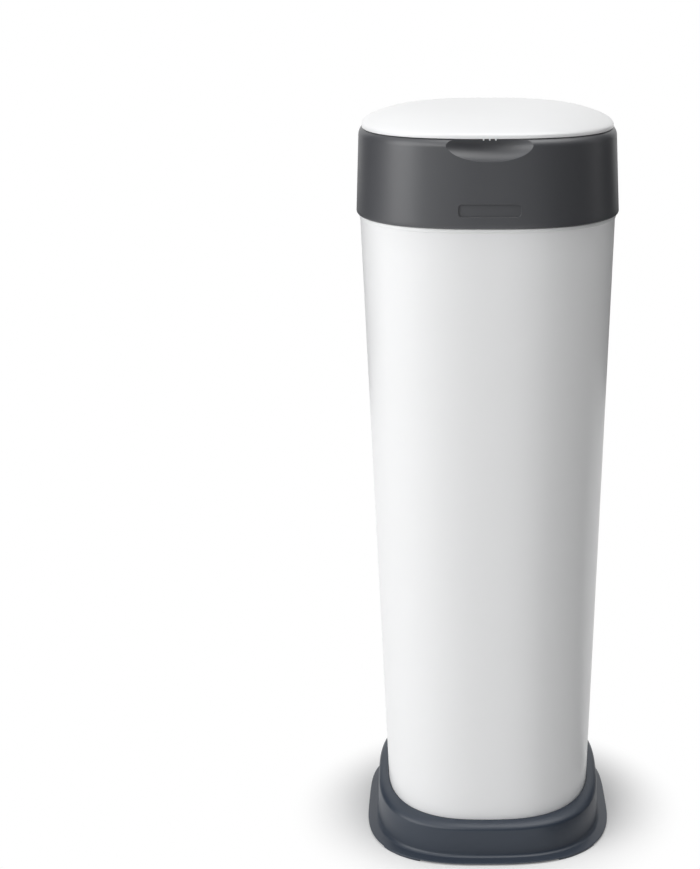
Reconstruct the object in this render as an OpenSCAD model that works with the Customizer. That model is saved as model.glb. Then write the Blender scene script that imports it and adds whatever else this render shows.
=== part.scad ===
// Nappy bin: a tapered tub on a foot, with a tipping head that holds a turning film cassette.
// Millimetres. The floor is z = 0, the front is -Y, and the origin is under the middle of the foot.

/* [Section] */
// Number of sides of every squared section
sides = 72; // [48:4:96]
// Depth of each section divided by its width
depth_ratio = 1.04; // [1:0.01:1.06]
// Squareness of the head and tub sections, 2 being an ellipse
head_square = 2.6; // [2.5:0.1:2.9]
// Squareness of the foot's wall, and of the front half of its flange
foot_square = 2.8; // [2.6:0.1:3]
// Squareness of the back half of the flange
foot_back_square = 4.2; // [2.8:0.1:5]

/* [Foot] */
// Height of the tray that the tub stands on
tray_h = 7; // [6.5:0.5:9]
// Height of the flange's top
flange_h = 5; // [4.4:0.1:6]
// How far the flange stands out from the wall
flange_out = 10.3; // [8:0.1:14]
// How far the wall's outer face stands out from the tub
foot_wall_out = 9.6; // [9:0.1:12]
// Height of the rim at the front
rim_front_h = 35.5; // [32:0.5:42]
// Height of the rim at the back
rim_back_h = 55.5; // [50:0.5:64]
// Radius of the rim's rounded top
rim_round = 6; // [4:0.5:7]
// Thickness of the foot's skin
foot_skin = 2.4; // [2:0.1:3]
// Clearance between the tub and the foot's sleeve
sleeve_gap = 0.4; // [0.3:0.1:0.8]
// Height of the flange's lower edge between its corner feet
foot_lift = 1.6; // [1:0.1:1.8]
// Width of each corner foot under the flange
corner_foot_w = 42; // [24:1:50]
// Distance that a corner foot reaches in from the flange's edge
corner_foot_in = 6; // [4:0.5:8]
// Radius of an anti-slip pad
pad_r = 8; // [6:0.5:10]
// Thickness of an anti-slip pad
pad_h = 2.6; // [2:0.1:3]
// Distance of the pads from the middle, along X
pad_x = 62; // [56:1:64]
// Distance of the foot screws from the middle, along X
foot_screw_x = 40; // [34:1:44]

/* [Tub] */
// Height of the tub from its floor to the collar's seat
tub_h = 569; // [480:1:620]
// Width of the tub at its floor
tub_floor_w = 185; // [179:1:192]
// Wall thickness of the tub
tub_wall = 2.2; // [1.8:0.1:2.8]
// Rounding of the tub's lower edge
tub_round = 3; // [2:0.5:5]
// Height of the band under the collar
band_h = 4; // [3:0.5:6]
// How far the band stands out
band_out = 0.7; // [0.4:0.1:1]
// Height of the rim inside the collar
tub_rim_h = 8; // [6:0.5:10]
// Clearance between that rim and the collar
tub_rim_gap = 0.9; // [0.8:0.1:1.2]

/* [Head] */
// Width of the collar at its lower edge
head_w = 226; // [223:1:240]
// Height of the collar
collar_h = 72.4; // [70:0.1:84]
// How much narrower the collar is at its shoulder, on each side
collar_draft = 2.8; // [0.8:0.1:3.2]
// How far the collar's lower edge stands out from the tub
collar_over = 2.9; // [2:0.1:3.4]
// Radius of the shoulder
shoulder_r = 8; // [6:0.5:8.5]
// Radius of the collar's lower outer edge
collar_edge_r = 1.2; // [0.6:0.1:1.6]
// Wall thickness of the collar
head_wall = 2.5; // [2:0.1:2.8]
// Distance from the collar's outline to the edge of the mouth
mouth_inset = 14.5; // [14:0.1:15.5]
// Height of the lip round the mouth
mouth_lip_h = 8; // [6:0.5:9]

/* [Thumb scoop] */
// Width of the scoop
scoop_w = 80; // [60:1:86]
// Depth of its widest line below the shoulder's top
scoop_top = 3.5; // [3:0.5:5]
// Height of the scoop below its widest line
scoop_h = 15; // [13:0.5:18]
// How far the scoop goes into the collar
scoop_depth = 9; // [7:0.5:9.2]

/* [Panel] */
// Width of the recessed panel on the collar
panel_w = 50.6; // [30:0.1:60]
// Height of the panel
panel_h = 10.2; // [8:0.1:14]
// Height of its middle above the collar's lower edge
panel_z = 14.6; // [12:0.1:24]
// Corner radius of the panel
panel_r = 3; // [1:0.5:4]
// Depth of the panel
panel_depth = 0.7; // [0.4:0.1:1]

/* [Lid] */
// Distance from the collar's outline to the lid's edge
lid_inset = 5.7; // [4.5:0.1:6.5]
// Clearance between the lid's edge and the shoulder
lid_gap = 0.7; // [0.5:0.1:1]
// Height of the lid's upright edge
lid_edge_h = 3.8; // [3:0.1:5]
// Rise of the dome above that edge
lid_rise = 13.5; // [10:0.5:20]
// Flatness of the dome, more being flatter
lid_flat = 4.1; // [3:0.1:5]
// Wall thickness of the lid
lid_wall = 2.2; // [1.8:0.1:2.8]
// Clearance between the lid's plug and the mouth
plug_gap = 0.9; // [0.7:0.1:1.2]
// Thickness of the plug's wall and floor
plug_wall = 2.6; // [2.2:0.1:3]
// Depth of the groove for the seal
groove_depth = 1.2; // [0.8:0.1:1.4]
// Height of the seal
seal_h = 2.6; // [2:0.1:3.4]
// Distance of the lid screws from the middle, along X
lid_screw_x = 60; // [50:1:64]
// Pitch of the grip ribs under the lid's front edge
grip_pitch = 4.9; // [4:0.1:7]
// Length of a grip rib
grip_h = 2.4; // [1.5:0.1:3]

/* [Hinges] */
// Radius of the lid hinge's barrel
lid_barrel_r = 3.5; // [3.2:0.1:3.8]
// Radius of the lid hinge's pin
lid_pin_r = 1.5; // [1.2:0.1:1.8]
// Radius of the head hinge's barrel
head_barrel_r = 4; // [3.6:0.1:4.1]
// Radius of the head hinge's pin
head_pin_r = 1.6; // [1.3:0.1:2]
// Depth of the head hinge's axis below the collar's lower edge
head_axis_drop = 5; // [4.8:0.1:6]
// Length of the middle knuckle of each hinge
knuckle_mid = 13; // [10:1:16]
// Length of each knuckle that swings
knuckle_swing = 13; // [10:1:15]
// Length of the two outer knuckles
knuckle_end = 12; // [8:1:14]

/* [Deck] */
// Depth of the deck's top below the shoulder's top
deck_drop = 14; // [13.8:0.1:16]
// Thickness of the deck
deck_t = 2.4; // [2:0.1:3]
// Wall thickness of the well
well_wall = 2.2; // [1.8:0.1:2.6]
// Clearance between the turning cup and the well
well_gap = 0.6; // [0.4:0.1:0.8]
// Height of the space for the ratchet under the ledge
ratchet_space = 8.4; // [8.2:0.1:10]
// Thickness of a deck rib
rib_t = 2; // [1.5:0.1:3]
// Height of a deck rib
rib_h = 14; // [8:1:24]
// Distance from the deck's edge to the end of a rib
rib_margin = 6.5; // [5:0.5:9]
// Distance from the pawl's pin to the inside of the ratchet's housing
pawl_room = 11; // [10:0.5:12]

/* [Cassette] */
// Outer radius of the film cassette
cassette_r = 89.4; // [87:0.1:89.6]
// Height of the cassette under its cap
cassette_h = 39.7; // [34:0.1:46]
// Outer radius of the cassette's core
core_r = 61.4; // [61.2:0.1:63]
// Wall thickness of the cassette
cassette_wall = 1.4; // [1:0.1:1.8]
// Thickness of the cassette's cap
cap_t = 1.8; // [1.4:0.1:2.4]
// Width of the slot that the film comes out of
film_slot = 3.2; // [2.4:0.1:4]
// Number of pleats in the film pack
pleats = 18; // [8:1:30]
// Thickness that stands in for the gathered film
film_t = 0.6; // [0.4:0.1:0.8]
// Depth of the film's closed end below the deck
film_drop = 108; // [98:1:120]

/* [Carrier] */
// Wall thickness of the cup that the cassette stands in
carrier_wall = 2.2; // [1.8:0.1:2.6]
// Outer radius of the spigot that runs in the deck's ledge
spigot_r = 61.9; // [61:0.1:63]
// Wall thickness of the spigot
spigot_wall = 3.9; // [3.4:0.1:4.2]
// Thickness of the twist ring
twist_t = 2; // [1.6:0.1:2.6]
// Height of the finger grips on the twist ring
finger_grip_h = 4.6; // [3:0.1:4.8]
// Middle radius of the finger grips
finger_grip_r = 78; // [72:1:84]
// Angle that each finger grip spans
finger_grip_angle = 50; // [30:1:70]

/* [Ratchet] */
// Number of teeth, a multiple of four
teeth = 48; // [36:4:52]
// Outer radius of the teeth
tooth_r = 72; // [71:0.1:72.4]
// Depth of a tooth
tooth_h = 2.6; // [2:0.1:2.8]
// Angle that a tooth's steep face leans back, so that the pawl can lift
tooth_lean = 1.5; // [1.3:0.1:2]
// Thickness of the ratchet ring
ratchet_t = 4.4; // [3.6:0.1:4.6]
// Distance of the pawl's pin outside the teeth
pawl_out = 10; // [9.5:0.1:11]
// Radius of the pawl's pin
pawl_pin_r = 1.5; // [1.2:0.1:1.7]
// Radius of the pawl's hub
pawl_hub_r = 3.6; // [3.2:0.1:4]
// Turns of the pawl's spring
spring_turns = 2; // [1:1:2]
// Wire radius of that spring
spring_wire_r = 0.25; // [0.2:0.05:0.3]

/* [Gripper] */
// Thickness of the gripper's flange
gripper_t = 2; // [1.6:0.1:2.6]
// Inner radius of the flange, where the fingers start
finger_root_r = 70; // [68:0.5:71]
// Radius at the tips of the fingers
finger_tip_r = 36; // [34:0.5:42]
// How far the fingers' tips hang below the flange
finger_drop = 14; // [10:0.5:18]
// Number of fingers
finger_count = 10; // [8:1:14]
// Slot between two fingers
finger_slot = 3; // [2:0.5:5]
// Thickness of the clamp ring
clamp_t = 2.6; // [2:0.1:3.4]

/* [Cutter] */
// Distance of the cutter's rail in front of the middle
rail_y = 84; // [83:0.5:85]
// Length of the rail
rail_l = 84; // [76:1:86]
// Width of the rail's foot
rail_w = 8; // [7:0.5:9]
// Thickness of the rail's web and foot
rail_t = 2.6; // [2:0.1:3]
// Height of the rail's web
rail_web_h = 6; // [5:0.5:8]
// Length of the cutter's carriage
slide_l = 20; // [16:1:24]
// Wall thickness of the carriage
slide_wall = 3; // [2.4:0.1:3.4]
// Thickness of the blade
blade_t = 0.8; // [0.6:0.1:1]
// How far the blade reaches towards the film
blade_reach = 9; // [6:0.5:10]

/* [Fasteners] */
// Shank radius of every screw
screw_r = 1.6; // [1.3:0.1:1.8]
// Head radius of every screw
screw_head_r = 3.1; // [2.8:0.1:3.4]
// Head height of every screw
screw_head_h = 2; // [1.6:0.1:2.2]
// Radius of a screw boss
boss_r = 3.8; // [3.4:0.1:4]
// How far a screw goes past the foot's tray into the tub
foot_screw_grip = 11; // [8:0.5:12]
// How far a screw goes past the deck into the collar
deck_screw_grip = 8.5; // [6:0.5:9]
// How much deeper a screw's hole is than its end
hole_spare = 1; // [0.5:0.1:1.5]

/* [Clearances] */
// Gap between pieces that rest on or move past each other
gap = 0.3; // [0.2:0.05:0.4]
// Radial clearance of a pin or spigot that turns
run_gap = 0.06; // [0.03:0.01:0.1]
// Radial clearance of a pin or screw that is held
hold_gap = 0.03; // [0.01:0.01:0.05]

/* [Hidden] */
$fn = 64;
eps = 0.01;
white = "#f4f4f2";
grey = "#4a4b4f";
slate = "#464c56";
pale = "#e3e4e2";

// Heights from the floor up
tray_z = tray_h;
tray_t = foot_skin + 0.2;
seat_z = tray_z + tub_h;
shoulder_z = seat_z + collar_h;
deck_z = shoulder_z - deck_drop;
lid_edge_z = edge_z(lid_inset) + lid_gap;
dome_z = lid_edge_z + lid_edge_h;

// Half widths and half depths
head_a = head_w / 2;
head_b = head_a * depth_ratio;
tub_top_a = head_a - collar_over;
tub_floor_a = tub_floor_w / 2;
lid_a = head_a - lid_inset;
lid_b = head_b - lid_inset;
mouth_a = head_a - mouth_inset;
mouth_b = head_b - mouth_inset;
plug_a = mouth_a - plug_gap;
plug_b = mouth_b - plug_gap;

// Turning unit, from the deck down
twist_z = deck_z - twist_t;
cap_z = twist_z - 2;
cassette_top_z = cap_z - cap_t;
cassette_z = cassette_top_z - cassette_h;
carrier_r = cassette_r + gap + 0.5 + carrier_wall;
carrier_floor_z = cassette_z - 0.2 - carrier_wall;
well_r = carrier_r + well_gap;
well_out_r = well_r + well_wall;
pawl_r = tooth_r + pawl_out;
skirt_r = pawl_r + pawl_room;
skirt_out_r = skirt_r + well_wall;
ledge_t = 2.4;
ledge_z = carrier_floor_z - gap - ledge_t;
ratchet_z = ledge_z - gap - ratchet_t;
spigot_z = ratchet_z - 1;
skirt_z = ledge_z - ratchet_space;
core_top_z = twist_z;
core_in_r = core_r - cassette_wall;
throat_r = spigot_r - spigot_wall;

// Gripper, clamp and cutter, under the well
gripper_z = skirt_z - gripper_t;
clamp_z = gripper_z - clamp_t;
clamp_in_r = finger_root_r + 2;
rail_z = clamp_z - rail_web_h;
rail_foot_z = rail_z - rail_t;
slide_in = gap;
slide_bottom_z = rail_foot_z - slide_in - slide_wall;
slide_x = -(rail_l - slide_l) / 2;

// Hinges
lid_axis_y = lid_b + 1.8;
lid_axis_z = shoulder_z - 1.5;
head_axis_y = depth_ratio * tub_width_at(seat_z - head_axis_drop) - 0.2;
head_axis_z = seat_z - head_axis_drop;
hinge_half = knuckle_mid / 2 + knuckle_swing + knuckle_end;
swing_from = knuckle_mid / 2 + gap;
swing_to = knuckle_mid / 2 + knuckle_swing - gap;
fixed_spans = [
    [-hinge_half, -knuckle_mid / 2 - knuckle_swing],
    [-knuckle_mid / 2, knuckle_mid / 2],
    [knuckle_mid / 2 + knuckle_swing, hinge_half]
];
swing_spans = [[-swing_to, -swing_from], [swing_from, swing_to]];
pocket_spans = [[-swing_to - gap, -swing_from + gap], [swing_from - gap, swing_to + gap]];
notch_spans = [
    [-hinge_half - gap, -knuckle_mid / 2 - knuckle_swing + gap],
    [-knuckle_mid / 2 - gap, knuckle_mid / 2 + gap],
    [knuckle_mid / 2 + knuckle_swing - gap, hinge_half + gap]
];
pocket_gap = 0.5;
pocket_wall = 2.2;

// Screw places
screw_hole_r = screw_r + hold_gap;
screw_pass_r = screw_r + 0.4;
foot_screw_y = foot_screw_x * depth_ratio;
pad_y = pad_x * depth_ratio;
lid_screw_y = lid_screw_x * depth_ratio;
corner = pow(2, -1 / head_square);
boss_spot = corner * [mouth_a + boss_r, mouth_b + boss_r];
deck_screw_d = max(norm(boss_spot), well_out_r + boss_r + gap);
deck_screw_x = boss_spot.x * deck_screw_d / norm(boss_spot);
deck_screw_y = boss_spot.y * deck_screw_d / norm(boss_spot);
clamp_screw_r = skirt_out_r - boss_r - 1.6;
deck_in = head_wall + collar_draft + gap + 0.2;
pawl_angle = 0;
corner_turn = 50;
tip_angle = -10;

// Half width of the tub's outer face at height z
function tub_width_at(z) = tub_floor_a + (tub_top_a - tub_floor_a) * (z - tray_z) / tub_h;

// Height of the shoulder's surface at a distance in from the collar's outline
function edge_z(inset) =
    let (reach = collar_draft + shoulder_r - inset)
    reach <= 0 ? shoulder_z : shoulder_z - shoulder_r + sqrt(shoulder_r * shoulder_r - reach * reach);

// Height of the dome at a share of the lid's outline, 0 in the middle and 1 at the edge
function dome_at(share) = dome_z + lid_rise * (1 - pow(share, lid_flat));

// Share of a squared outline that passes through a point
function share_at(x, y, a, b) =
    pow(pow(abs(x) / a, head_square) + pow(abs(y) / b, head_square), 1 / head_square);

// Squared outline with half width a and half depth b, as flat points
function outline(a, b, square, back) = [
    for (i = [0:sides - 1])
        let (
            c = cos(360 * i / sides),
            s = sin(360 * i / sides),
            n = s > 0 ? back : square,
            r = pow(pow(abs(c), n) + pow(abs(s), n), -1 / n)
        )
        [a * r * c, b * r * s]
];

// The same outline lifted to height z, and tilted so that it rises towards the back
function ring(a, b, z, square = head_square, tilt = 0, back = 0) =
    [for (p = outline(a, b, square, back > 0 ? back : square)) [p.x, p.y, z + tilt * p.y]];

// Rings that follow a profile of [inset, height] points
function rings(profile, a, b, square = head_square) =
    [for (p = profile) ring(a - p[0], b - p[0], p[1], square)];

// Points of an arc
function arc(cx, cy, r, from, to, steps) =
    [for (i = [0:steps]) let (t = from + (to - from) * i / steps) [cx + r * cos(t), cy + r * sin(t)]];

// Side faces between ring k and ring m
function ring_faces(k, m) = [
    for (i = [0:sides - 1])
        let (j = (i + 1) % sides)
        each [
            [k * sides + i, m * sides + i, m * sides + j],
            [k * sides + i, m * sides + j, k * sides + j]
        ]
];

// Solid skin through rings, closed by a flat cap at each end
module loft(stack) {
    last = len(stack) - 1;
    polyhedron(
        points = [for (r = stack) each r],
        faces = concat(
            [[for (i = [0:sides - 1]) i]],
            [for (k = [0:last - 1]) each ring_faces(k, k + 1)],
            [[for (i = [sides - 1:-1:0]) last * sides + i]]
        )
    );
}

// Closed hoop through rings, the last joined to the first
module hoop(stack) {
    count = len(stack);
    polyhedron(
        points = [for (r = stack) each r],
        faces = [for (k = [0:count - 1]) each ring_faces(k, (k + 1) % count)]
    );
}

// Flat squared plate
module plate(a, b, z, t) {
    translate([0, 0, z]) linear_extrude(height = t) polygon(outline(a, b, head_square, head_square));
}

// Ring of revolution from a profile of [radius, height] points
module turned(profile) {
    rotate_extrude($fn = 96) polygon(profile);
}

// Flat washer-like ring
module washer(inner, outer, z, t) {
    turned([[inner, z], [outer, z], [outer, z + t], [inner, z + t]]);
}

// Rods along X between the given spans
module rods(spans, r, y, z) {
    for (s = spans)
        translate([s[0], y, z]) rotate([0, 90, 0]) cylinder(r = r, h = s[1] - s[0]);
}

// Children at the four mirrored places of [x, y]
module at_corners(x, y) {
    for (sx = [-1, 1], sy = [-1, 1])
        translate([sx * x, sy * y, 0]) children();
}

// Children at four places round a circle, on the diagonals
module at_diagonals(r) {
    for (t = [45:90:315])
        rotate([0, 0, t]) translate([r, 0, 0]) children();
}

// Pan-head screw that points up, its head's top at z = 0
module screw(length) {
    difference() {
        union() {
            translate([0, 0, -screw_head_h]) cylinder(r = screw_head_r, h = screw_head_h);
            translate([0, 0, -screw_head_h / 2]) cylinder(r = screw_r, h = length + screw_head_h / 2);
        }
        for (t = [0, 90])
            rotate([0, 0, t]) translate([-1.8, -0.4, -screw_head_h - eps]) cube([3.6, 0.8, 1.2]);
    }
}

// Foot: tray, sleeve round the tub, sloping rounded rim, wall, fillet and flange
module foot_base() {
    color(slate) difference() {
        union() {
            foot_skin_body();
            corner_feet();
            at_corners(pad_x, pad_y) translate([0, 0, 1.2]) cylinder(r = pad_r + 2, h = tray_z - 1.4);
        }
        at_corners(pad_x, pad_y) translate([0, 0, -eps]) cylinder(r = pad_r + hold_gap, h = pad_h + eps);
        at_corners(foot_screw_x, foot_screw_y) cylinder(r = screw_pass_r, h = tray_z + 1);
    }
}

// Ring just outside the tub, along a plane that is z_mid high over the middle and rises towards the back
function sleeve_ring(out, z_mid, tilt = 0) =
    let (mid_a = tub_width_at(z_mid))
    [
        for (p = outline(mid_a, mid_a * depth_ratio, head_square, head_square))
            let (z = z_mid + tilt * p.y, a = tub_width_at(z), share = (a + out) / mid_a)
            [p.x * share, p.y * share, z]
    ];

// Skin of the foot as one path from under the tray, over the flange and rim, to the tray's top
module foot_skin_body() {
    mid_z = (rim_front_h + rim_back_h) / 2;
    half_b = tub_width_at(mid_z) * depth_ratio;
    tilt = (rim_back_h - rim_front_h) / (2 * half_b);
    wall_a = foot_wall_a();
    flange_a = foot_flange_a();
    tray_under_z = tray_z - tray_t;
    under_z = flange_h - foot_skin;
    low_z = mid_z - rim_round;
    lean = 0.7;
    fillet = 4.8;
    edge = 2.6;
    function at(a, z, slope = 0, square = foot_square) = ring(a, a * depth_ratio, z, square, slope);
    function rim(t) =
        let (c = cos(t), s = sin(t), share = 1 - c)
        [
            for (i = [0:sides - 1])
                let (
                    o = at(wall_a, low_z + rim_round * s, tilt)[i],
                    n = sleeve_ring(sleeve_gap, mid_z - rim_round * (1 - s), tilt)[i]
                )
                n + (o - n) * c
        ];
    loft(concat(
        [
            sleeve_ring(sleeve_gap, tray_under_z),
            sleeve_ring(sleeve_gap + foot_skin, tray_under_z),
            sleeve_ring(sleeve_gap + foot_skin, low_z, tilt),
            at(wall_a - foot_skin, low_z - 1, tilt),
            at(wall_a - foot_skin + lean, flange_h + fillet),
            at(wall_a + 4, under_z),
            flange_ring(flange_a - foot_skin, under_z - 0.2),
            flange_ring(flange_a - foot_skin, foot_lift),
            flange_ring(flange_a - 0.5, foot_lift),
            flange_ring(flange_a, foot_lift + 0.5),
            flange_ring(flange_a, flange_h - edge)
        ],
        [for (p = arc(flange_a - edge, flange_h - edge, edge, 30, 90, 2)) flange_ring(p.x, p.y)],
        [for (p = arc(wall_a + lean + fillet, flange_h + fillet, fillet, 270, 187, 4)) at(p.x, p.y)],
        [for (t = [0:22.5:90]) rim(t)],
        [sleeve_ring(sleeve_gap, tray_z)]
    ));
}

// Half widths of the foot's wall and flange
function foot_wall_a() = tub_width_at(rim_front_h) + sleeve_gap + foot_wall_out;
function foot_flange_a() = foot_wall_a() + flange_out;

// Ring of the flange, squarer at the back
function flange_ring(a, z) = ring(a, a * depth_ratio, z, foot_square, 0, foot_back_square);

// Four feet under the flange's corners
module corner_feet() {
    outer = foot_flange_a() - 0.2;
    inner = outer - corner_foot_in;
    top_z = flange_h - foot_skin + 0.6;
    intersection() {
        hoop([
            flange_ring(inner, 0), flange_ring(outer - 0.5, 0), flange_ring(outer, 0.5),
            flange_ring(outer, top_z), flange_ring(inner, top_z)
        ]);
        for (t = [corner_turn, 180 - corner_turn, 180 + corner_turn, -corner_turn])
            rotate([0, 0, t]) translate([0, -corner_foot_w / 2, -1])
                cube([2 * outer, corner_foot_w, top_z + 2]);
    }
}

// Pads under the foot
module foot_pads() {
    color("#26282b") at_corners(pad_x, pad_y) cylinder(r = pad_r, h = pad_h - 0.05);
}

// Screws from the foot into the tub
module foot_screws() {
    color("silver") at_corners(foot_screw_x, foot_screw_y)
        translate([0, 0, tray_z - tray_t]) screw(tray_t + foot_screw_grip);
}

// Tub: tapered shell with a band, an inner rim, screw bosses and the fixed half of the head hinge
module tub() {
    color(white) difference() {
        union() {
            tub_body();
            at_corners(foot_screw_x, foot_screw_y)
                translate([0, 0, tray_z + 1])
                    cylinder(r = boss_r + 1, h = foot_screw_grip + 3 * hole_spare);
            intersection() {
                tub_hinge_housing();
                tub_core();
            }
            rods(fixed_spans, head_barrel_r, head_axis_y, head_axis_z);
        }
        at_corners(foot_screw_x, foot_screw_y)
            translate([0, 0, tray_z - 1])
                cylinder(r = screw_hole_r, h = 1 + foot_screw_grip + hole_spare);
        rods(pocket_spans, head_barrel_r + pocket_gap, head_axis_y, head_axis_z);
        for (s = pocket_spans)
            translate([s[0], head_axis_y - 0.4, head_axis_z]) cube([s[1] - s[0], 12, head_axis_drop + 1]);
        rods([[-hinge_half - 1, hinge_half + 1]], head_pin_r + hold_gap, head_axis_y, head_axis_z);
    }
}

// Outer and inner skin of the tub
module tub_body() {
    a0 = tub_width_at(tray_z);
    a1 = tub_width_at(tray_z + 4);
    band_z = seat_z - band_h;
    band_a = tub_width_at(band_z);
    top_z = seat_z - gap;
    rim_in = head_wall + tub_rim_gap;
    rim_top_z = seat_z + tub_rim_h;
    floor_z = tray_z + tub_wall + 0.4;
    function at(a, z, d = 0) = ring(a - d, a * depth_ratio - d, z);
    loft([
        at(a0 - tub_round, tray_z),
        at(a0 - tub_round * 0.3, tray_z + 1.2),
        at(a1, tray_z + 4),
        at(band_a, band_z),
        at(band_a + band_out, band_z + 0.5),
        at(band_a + band_out, top_z),
        ring(head_a - rim_in, head_b - rim_in, top_z),
        ring(head_a - rim_in, head_b - rim_in, rim_top_z - 0.6),
        ring(head_a - rim_in - 0.6, head_b - rim_in - 0.6, rim_top_z),
        ring(head_a - rim_in - tub_wall, head_b - rim_in - tub_wall, rim_top_z),
        ring(head_a - rim_in - tub_wall, head_b - rim_in - tub_wall, seat_z),
        at(band_a, band_z, tub_wall),
        at(a1, tray_z + 6, tub_wall),
        at(a0, floor_z, tub_wall + tub_round)
    ]);
}

// Solid inside the tub's outer face, which trims what is added to its wall
module tub_core() {
    low_z = head_axis_z - 30;
    d = tub_wall / 2;
    rim_in = head_wall + tub_rim_gap + d;
    function at(z) = ring(tub_width_at(z) - d, tub_width_at(z) * depth_ratio - d, z);
    loft([
        at(low_z),
        at(seat_z - band_h),
        ring(head_a - rim_in, head_b - rim_in, seat_z),
        ring(head_a - rim_in, head_b - rim_in, seat_z + tub_rim_h)
    ]);
}

// Block inside the tub's back wall that the hinge pockets are sunk in
module tub_hinge_housing() {
    back = head_barrel_r + pocket_gap + pocket_wall;
    translate([-hinge_half - 2, head_axis_y - back, head_axis_z - back])
        cube([2 * hinge_half + 4, back + 10, back + head_axis_drop + 4]);
}

// Pin of the head's hinge
module head_hinge_pin() {
    color("silver") rods([[-hinge_half, hinge_half]], head_pin_r, head_axis_y, head_axis_z);
}

// Collar: outer skin, shoulder, mouth, scoop, panel, screw bosses and both hinges' knuckles
module head_shell() {
    color(grey) difference() {
        union() {
            head_skin();
            intersection() {
                union() {
                    scoop_body(head_wall);
                    rods([[-hinge_half - 2, hinge_half + 2]], lid_barrel_r + pocket_gap + pocket_wall,
                        lid_axis_y, lid_axis_z);
                }
                head_core();
            }
            at_corners(deck_screw_x, deck_screw_y)
                translate([0, 0, deck_z + 0.1]) cylinder(r = boss_r, h = shoulder_z - deck_z - 1.2);
            rods(fixed_spans, lid_barrel_r, lid_axis_y, lid_axis_z);
            head_knuckle_arms();
            rods(swing_spans, head_barrel_r, head_axis_y, head_axis_z);
        }
        scoop_body(0);
        panel_cut();
        at_corners(deck_screw_x, deck_screw_y)
            translate([0, 0, deck_z - 1])
                cylinder(r = screw_hole_r, h = 1 + deck_screw_grip + hole_spare);
        rods(pocket_spans, lid_barrel_r + pocket_gap, lid_axis_y, lid_axis_z);
        rods([[-hinge_half - 1, hinge_half + 1]], lid_pin_r + hold_gap, lid_axis_y, lid_axis_z);
        rods([[-swing_to - 1, swing_to + 1]], head_pin_r + run_gap, head_axis_y, head_axis_z);
    }
}

// Skin of the collar
module head_skin() {
    w = head_wall;
    bend = collar_draft + shoulder_r;
    shoulder_low = shoulder_z - shoulder_r;
    e = collar_edge_r;
    outer = arc(bend, shoulder_low, shoulder_r, 180, 90, 5);
    inner = arc(bend, shoulder_low, shoulder_r - w, 90, 180, 4);
    hoop(rings(concat(
        [[e, seat_z], [0.3 * e, seat_z + 0.3 * e], [0, seat_z + e]],
        outer,
        [[mouth_inset, shoulder_z], [mouth_inset, shoulder_z - mouth_lip_h]],
        [[mouth_inset - w, shoulder_z - mouth_lip_h], [mouth_inset - w, shoulder_z - w]],
        inner,
        [[w, seat_z]]
    ), head_a, head_b));
}

// Solid inside the collar's outer face, which trims what is added to its wall
module head_core() {
    d = head_wall / 3;
    bend = collar_draft + shoulder_r;
    outer = arc(bend, shoulder_z - shoulder_r, shoulder_r - d, 180, 90, 4);
    loft(rings(concat([[d, seat_z + 1]], outer), head_a, head_b));
}

// Arms that join the swinging knuckles to the collar's back wall
module head_knuckle_arms() {
    for (s = swing_spans)
        translate([s[0], head_axis_y, head_axis_z])
            cube([s[1] - s[0], head_b - head_axis_y - 0.8, head_axis_drop + 3]);
}

// Body of the thumb scoop, turned about a line along X in front of the collar
module scoop_body(extra) {
    out = (scoop_h * scoop_h - scoop_depth * scoop_depth) / (2 * scoop_depth);
    half = scoop_w / 2;
    face = head_b - collar_draft;
    curve = [
        for (i = [0:14])
            let (t = 180 * i / 14)
            [sqrt(out * out + pow(scoop_h * sin(t), 2)) + extra, -half * cos(t)]
    ];
    ends = [[0, half + extra], [0, -half - extra]];
    first = [[curve[0].x, -half - extra]];
    last = [[curve[14].x, half + extra]];
    translate([0, -face - out, shoulder_z - scoop_top])
        rotate([0, 90, 0])
            rotate_extrude() polygon(extra > 0 ? concat(first, curve, last, ends) : concat(curve, ends));
}

// Shallow rounded panel low on the front, whose floor follows the collar's surface
module panel_cut() {
    x = panel_w / 2 - panel_r;
    z = panel_h / 2 - panel_r;
    reach = 12;
    difference() {
        translate([0, -head_b + reach / 2, seat_z + panel_z]) rotate([90, 0, 0]) union() {
            translate([-x, -z - panel_r, 0]) cube([2 * x, panel_h, reach]);
            translate([-x - panel_r, -z, 0]) cube([panel_w, 2 * z, reach]);
            for (sx = [-1, 1], sz = [-1, 1])
                translate([sx * x, sz * z, 0]) cylinder(r = panel_r, h = reach);
        }
        loft(rings([
            [panel_depth, seat_z + collar_edge_r],
            [panel_depth + collar_draft, shoulder_z - shoulder_r]
        ], head_a, head_b));
    }
}

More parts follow.
